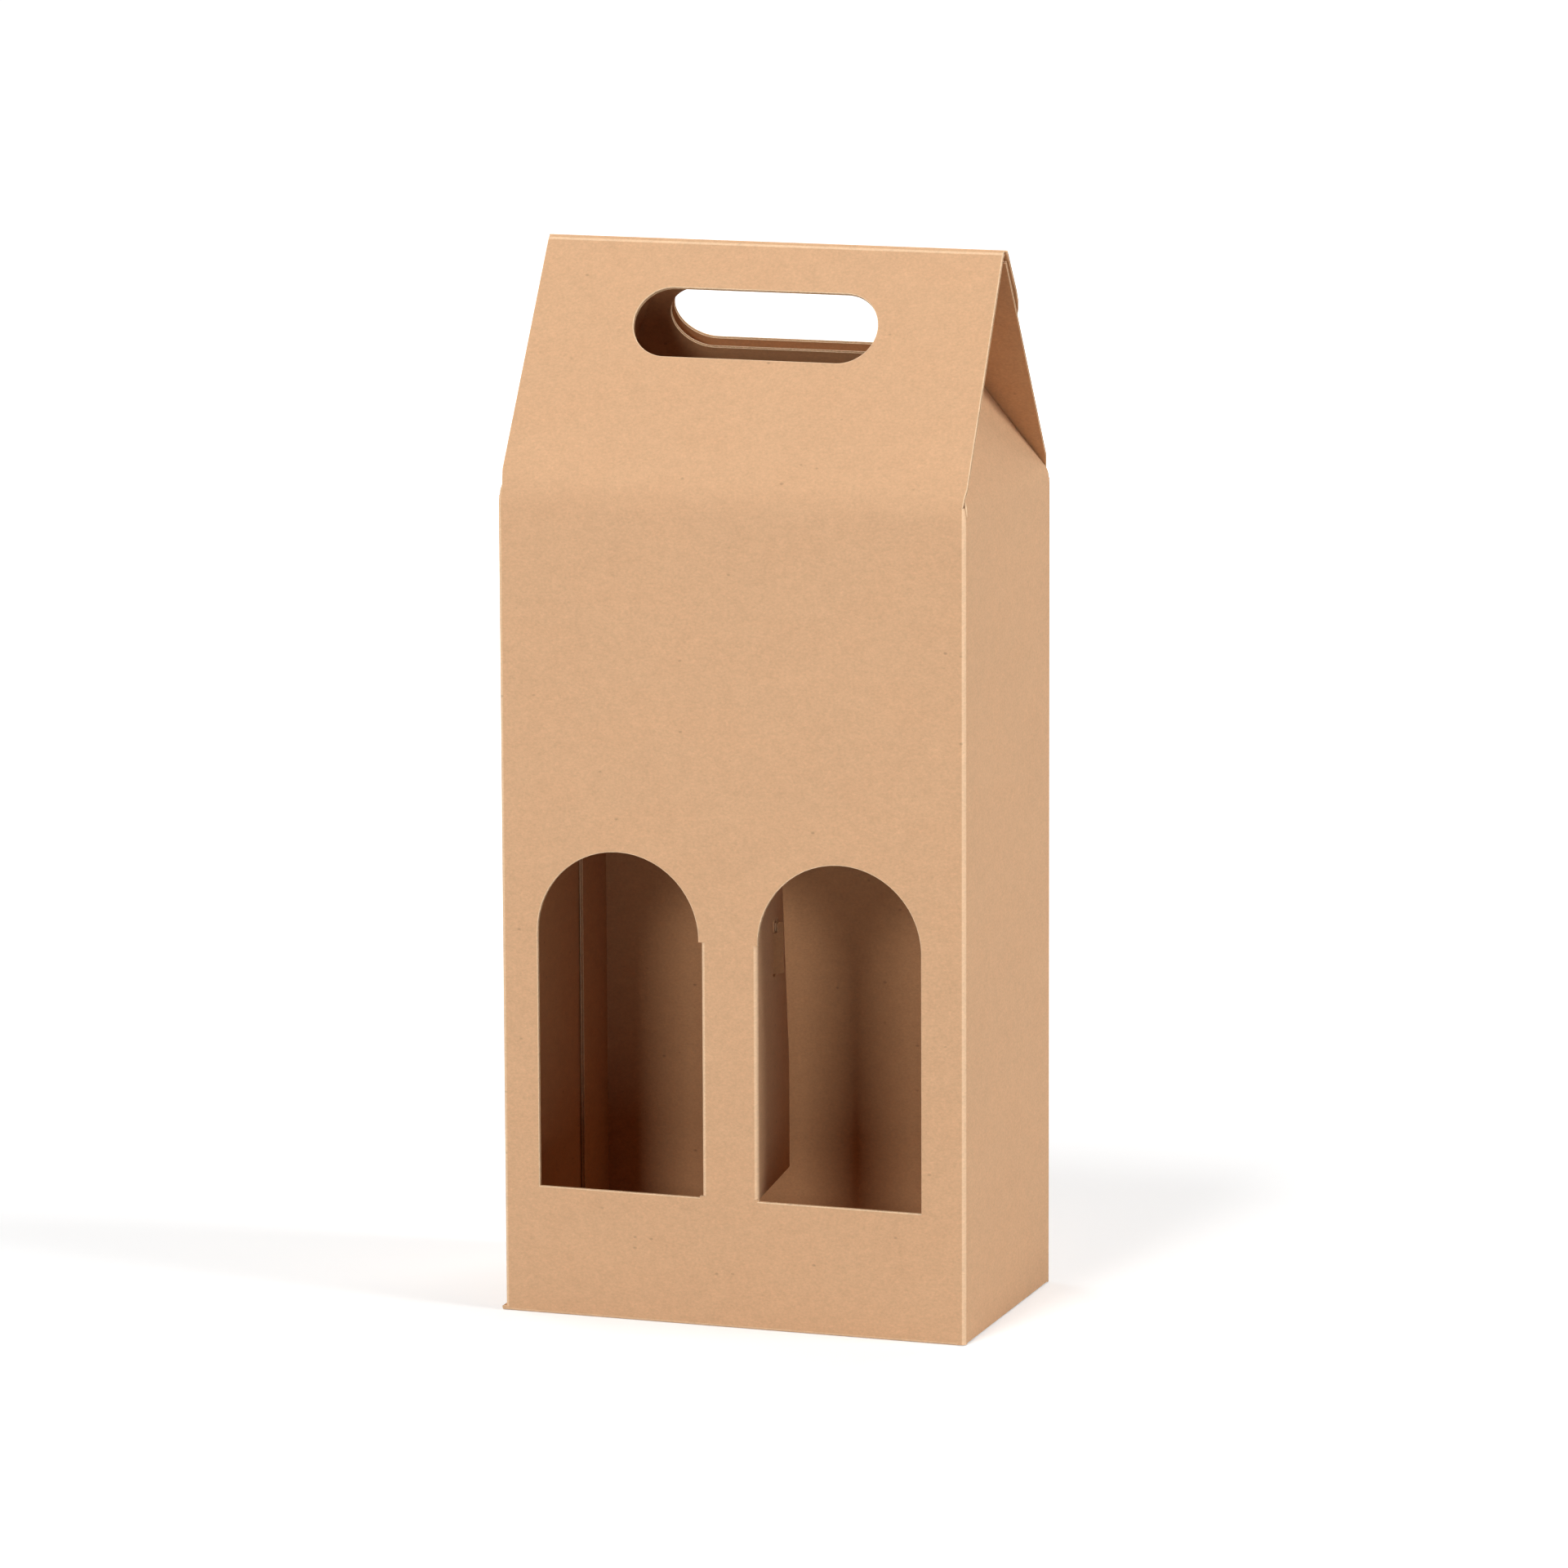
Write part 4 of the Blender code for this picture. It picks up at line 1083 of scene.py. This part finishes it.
def major_board(name, side):
    """Base flap that bends out of the front or rear wall, its tongue raised over the other flap."""
    free_edge = HALF_DEPTH - MAJOR_MIDDLE_GAP
    notch = free_edge - TONGUE_RAMP - 2 * TONGUE_SLIT
    outer = TONGUE_INNER + TONGUE_WIDTH
    item = sheet(name + "_board", (-MAJOR_END, 0), (MAJOR_END, free_edge))
    for x in (TONGUE_INNER - TONGUE_SLIT, TONGUE_INNER, outer, outer + TONGUE_SLIT):
        split(item, (x, 0, 0), (1, 0, 0))
    split(item, (0, notch, 0), (0, 1, 0))
    wide = TONGUE_SLIT + TOUCH / 2
    in_slit = lambda co: TONGUE_INNER - wide < co.x < outer + wide
    drop(item, lambda co: in_slit(co) and co.y > notch - TOUCH / 2)
    on_tongue = lambda co: TONGUE_INNER - TOUCH < co.x < outer + TOUCH
    reach = HALF_DEPTH + TONGUE_REACH - notch - TONGUE_RAMP
    in_notch = lambda co: on_tongue(co) and near(co.y, notch)
    pull(item, in_notch, (0, TONGUE_RAMP, -MINOR_LEVEL), (0, reach, 0))
    round_corners(item, lambda co: near(co.y, HALF_DEPTH + TONGUE_REACH), TONGUE_CORNER, 8)
    moves = (0, 0, -CORNER_CURL), (0, 0, CORNER_CURL - PARENT_STRIP)
    pull(item, lambda co: near(co.y, 0), *moves)
    if side < 0:
        spread = HALF_WIDTH + CORNER_OVERHANG - MAJOR_END
        end = CORNER_REACH + spread
        split(item, (0, end, 0), (0, 1, 0))
        at_end = lambda co: near(co.x, MAJOR_END) and co.z > -CORNER_CURL - TOUCH
        pull(item, lambda co: at_end(co) and co.y < end + TOUCH, (spread, 0, 0))
        pick(item, "VERT", lambda co: near(co.x, MAJOR_END + spread) and co.y > CORNER_REACH)
        bpy.ops.transform.translate(value=(0, -spread, 0))
    bend(item, lambda co: near(co.y, 0) and near(co.z, 0), BASE_BEND)
    thicken(item, (0, 0, 1))
    at_post = lambda co: near(abs(co.x), MAJOR_END) and co.y < 2 * BOARD
    on_wall = lambda co: co.z < -2 * BOARD or near(co.z, -CORNER_CURL)
    finish_cut_edges(item, lambda co: on_wall(co) or at_post(co))
    # The insets push the slits' inner corners a little out of the face
    pick(item, "VERT", lambda co: co.z > MERGE)
    bpy.ops.transform.resize(value=(1, 1, 0), center_override=(0, 0, 0))
    planes = [FLAT, ((0, 0, 0), (0, -1, 0))]
    bends = [((0, 0, 0), (1, 0, 0), BASE_BEND, 90)]
    settle(item, planes, bends, (0, side * HALF_DEPTH, 0), (side, 0, 0), (0, -side, 0))
    ride_for(item, "carton", (name,))


def minor_board(name, side):
    """Base flap that bends out of a side wall, with the scored corner by which it is glued down."""
    slant = math.radians(MINOR_SLOPE)
    item = sheet(name + "_board", (-MINOR_HALF, 0), (MINOR_HALF, MINOR_DEPTH))
    trim(item, (MINOR_HALF, 0, 0), (math.cos(slant), math.sin(slant), 0))
    trim(item, (-MINOR_HALF, MINOR_DEPTH - MINOR_CHAMFER, 0), (-1, 1, 0))
    drop_to = MINOR_LEVEL - SIDE_FOLD_LEVEL if side > 0 else 0
    if drop_to:
        trim(item, (0, SIDE_FOLD_RAMP, 0), (0, -1, 0))
        pull(item, lambda co: near(co.y, SIDE_FOLD_RAMP), (0, -SIDE_FOLD_RAMP, drop_to))
        pick(item, "VERT", lambda co: near(co.y, 0) and co.x > 0)
        bpy.ops.transform.translate(value=(SIDE_FOLD_RAMP * math.tan(slant), 0, 0))
    pull(item, lambda co: near(co.y, 0), (0, 0, -PARENT_STRIP - drop_to))
    reach = BASE_BEND / 2 if drop_to else BASE_BEND
    bend(item, lambda co: near(co.y, 0) and near(co.z, drop_to), reach)
    thicken(item, (0, 0, 1))
    start = Vector((-MINOR_HALF + BOARD, SIDE_FOLD_RAMP, 0))
    run = MINOR_DEPTH - start.y - SCORE_END_GAP
    half = Vector((run / math.sqrt(2), SCORE_WIDTH / 2, SCORE_DEPTH))
    score = block(name + "_score", -half, half)
    score.location = start + Vector((run / 2, run / 2, 0))
    score.rotation_euler = (0, 0, math.pi / 4)
    work_on(score)
    bpy.ops.object.transform_apply()
    cut(item, score)
    inside = lambda co: abs(co.x) < MINOR_HALF - BOARD and BOARD < co.y < MINOR_DEPTH - BOARD
    in_score = lambda co: inside(co) and abs(co.z) < BOARD / 3
    beside_post = lambda co: near(abs(co.x), MINOR_HALF) and co.y < 2 * BOARD
    finish_cut_edges(item, lambda co: co.z < -2 * BOARD or beside_post(co) or in_score(co))
    planes = [FLAT, ((0, 0, 0), (0, -1, 0))]
    bends = [((0, 0, drop_to), (1, 0, 0), BASE_BEND / 2, 90)]
    origin = (side * HALF_WIDTH, 0, MINOR_LEVEL)
    settle(item, planes, bends, origin, (0, -side, 0), (-side, 0, 0))
    ride_for(item, "carton", (name,))


carton_walls()
major_board("front_bottom_flap", -1)
major_board("back_bottom_flap", 1)
minor_board("left_bottom_flap", -1)
minor_board("right_bottom_flap", 1)
front_slope_board()
closing_flap_board()
rear_slope_board()
dust_flap_board(1)
dust_flap_board(-1)
right_divider_board()
left_divider_board()

# Floor, light and camera

CAMERA_PLACE = Vector((1003.9, -2921.0, 762.8)) * MM
CAMERA_YAW = 18.92
CAMERA_PITCH = 10.41
CAMERA_ROLL = -0.24
CAMERA_LENS = 194.12

FLOOR_SIZE = 12
FLOOR_WHITE = 0.30
FLOOR_NEAR = 0.25
FLOOR_FAR = 1.4

DAYLIGHT = 0.04
LAMP_AIM = Vector((0, 0, 0.2))
LAMP_DISTANCE = 3
# Name, turn to the right of the front, rise, size and power
LAMPS = (
    ("front_lamp", -8, 14, 0.6, 24.5),
    ("right_lamp", 88, 40, 1.0, 46),
    ("top_lamp", -14, 56, 0.8, 41),
    ("back_lamp", 165, 40, 2.0, 32),
    ("left_lamp", -112, 25, 1.6, 26),
)


def camera():
    """Camera at the photo's angle, with no shift."""
    data = bpy.data.cameras.new("camera")
    data.lens = CAMERA_LENS
    data.sensor_width = 36
    data.clip_end = 50
    item = bpy.data.objects.new("camera", data)
    turn = Matrix.Rotation(math.radians(CAMERA_YAW), 4, "Z")
    tilt = Matrix.Rotation(math.radians(90 - CAMERA_PITCH), 4, "X")
    roll = Matrix.Rotation(math.radians(CAMERA_ROLL), 4, "Z")
    item.matrix_world = Matrix.Translation(CAMERA_PLACE) @ turn @ tilt @ roll
    bpy.context.scene.collection.objects.link(item)
    bpy.context.scene.camera = item


def looked_at(wiring):
    """1 for rays that see a surface directly, in a mirror or through glass, and 0 for its light."""
    seen = wiring.add("ShaderNodeLightPath").outputs
    direct = wiring.math("MAXIMUM", seen["Is Camera Ray"], seen["Is Glossy Ray"])
    return wiring.math("MAXIMUM", direct, seen["Is Transmission Ray"])


def floor():
    """Pale floor that reads white to the camera and keeps the shadow."""
    start_fresh()
    bpy.ops.mesh.primitive_plane_add(size=FLOOR_SIZE, location=(0, 0, 0))
    item = bpy.context.object
    item.name = "floor"
    material = bpy.data.materials.new("pale_floor")
    material.use_nodes = True
    wiring = Wiring(material.node_tree)
    shader = material.node_tree.nodes["Principled BSDF"]
    shader.inputs["Base Color"].default_value = (0.8, 0.8, 0.8, 1)
    shader.inputs["Roughness"].default_value = 1.0
    shader.inputs["Specular IOR Level"].default_value = 0.0
    shader.inputs["Emission Color"].default_value = (1, 1, 1, 1)
    spot = wiring.add("ShaderNodeTexCoord").outputs["Object"]
    away = wiring.add("ShaderNodeVectorMath", {0: spot}, operation="LENGTH").outputs["Value"]
    level = wiring.spread(away, FLOOR_NEAR, FLOOR_FAR, FLOOR_WHITE, 1.0)
    glow = wiring.math("MULTIPLY", looked_at(wiring), level)
    material.node_tree.links.new(glow, shader.inputs["Emission Strength"])
    item.data.materials.append(material)


def lamp(name, turn, rise, size, power):
    """Soft square lamp, by its turn to the right of the front and its rise, in degrees."""
    level, height = direction(rise)
    aside, ahead = direction(turn - 90)
    data = bpy.data.lights.new(name, "AREA")
    data.size = size
    data.energy = power
    item = bpy.data.objects.new(name, data)
    toward = Vector((level * aside, level * ahead, height))
    item.location = LAMP_AIM + LAMP_DISTANCE * toward
    item.rotation_euler = (LAMP_AIM - item.location).to_track_quat("-Z", "Y").to_euler()
    bpy.context.scene.collection.objects.link(item)


def daylight(strength):
    """Even light all round, white to the camera."""
    world = bpy.data.worlds.new("studio")
    bpy.context.scene.world = world
    world.use_nodes = True
    wiring = Wiring(world.node_tree)
    background = world.node_tree.nodes["Background"]
    level = wiring.spread(looked_at(wiring), 0.0, 1.0, strength, 1.0)
    background.inputs["Color"].default_value = (1, 1, 1, 1)
    world.node_tree.links.new(level, background.inputs["Strength"])


daylight(DAYLIGHT)
for settings in LAMPS:
    lamp(*settings)
floor()
camera()
bpy.context.scene.view_settings.view_transform = "Standard"
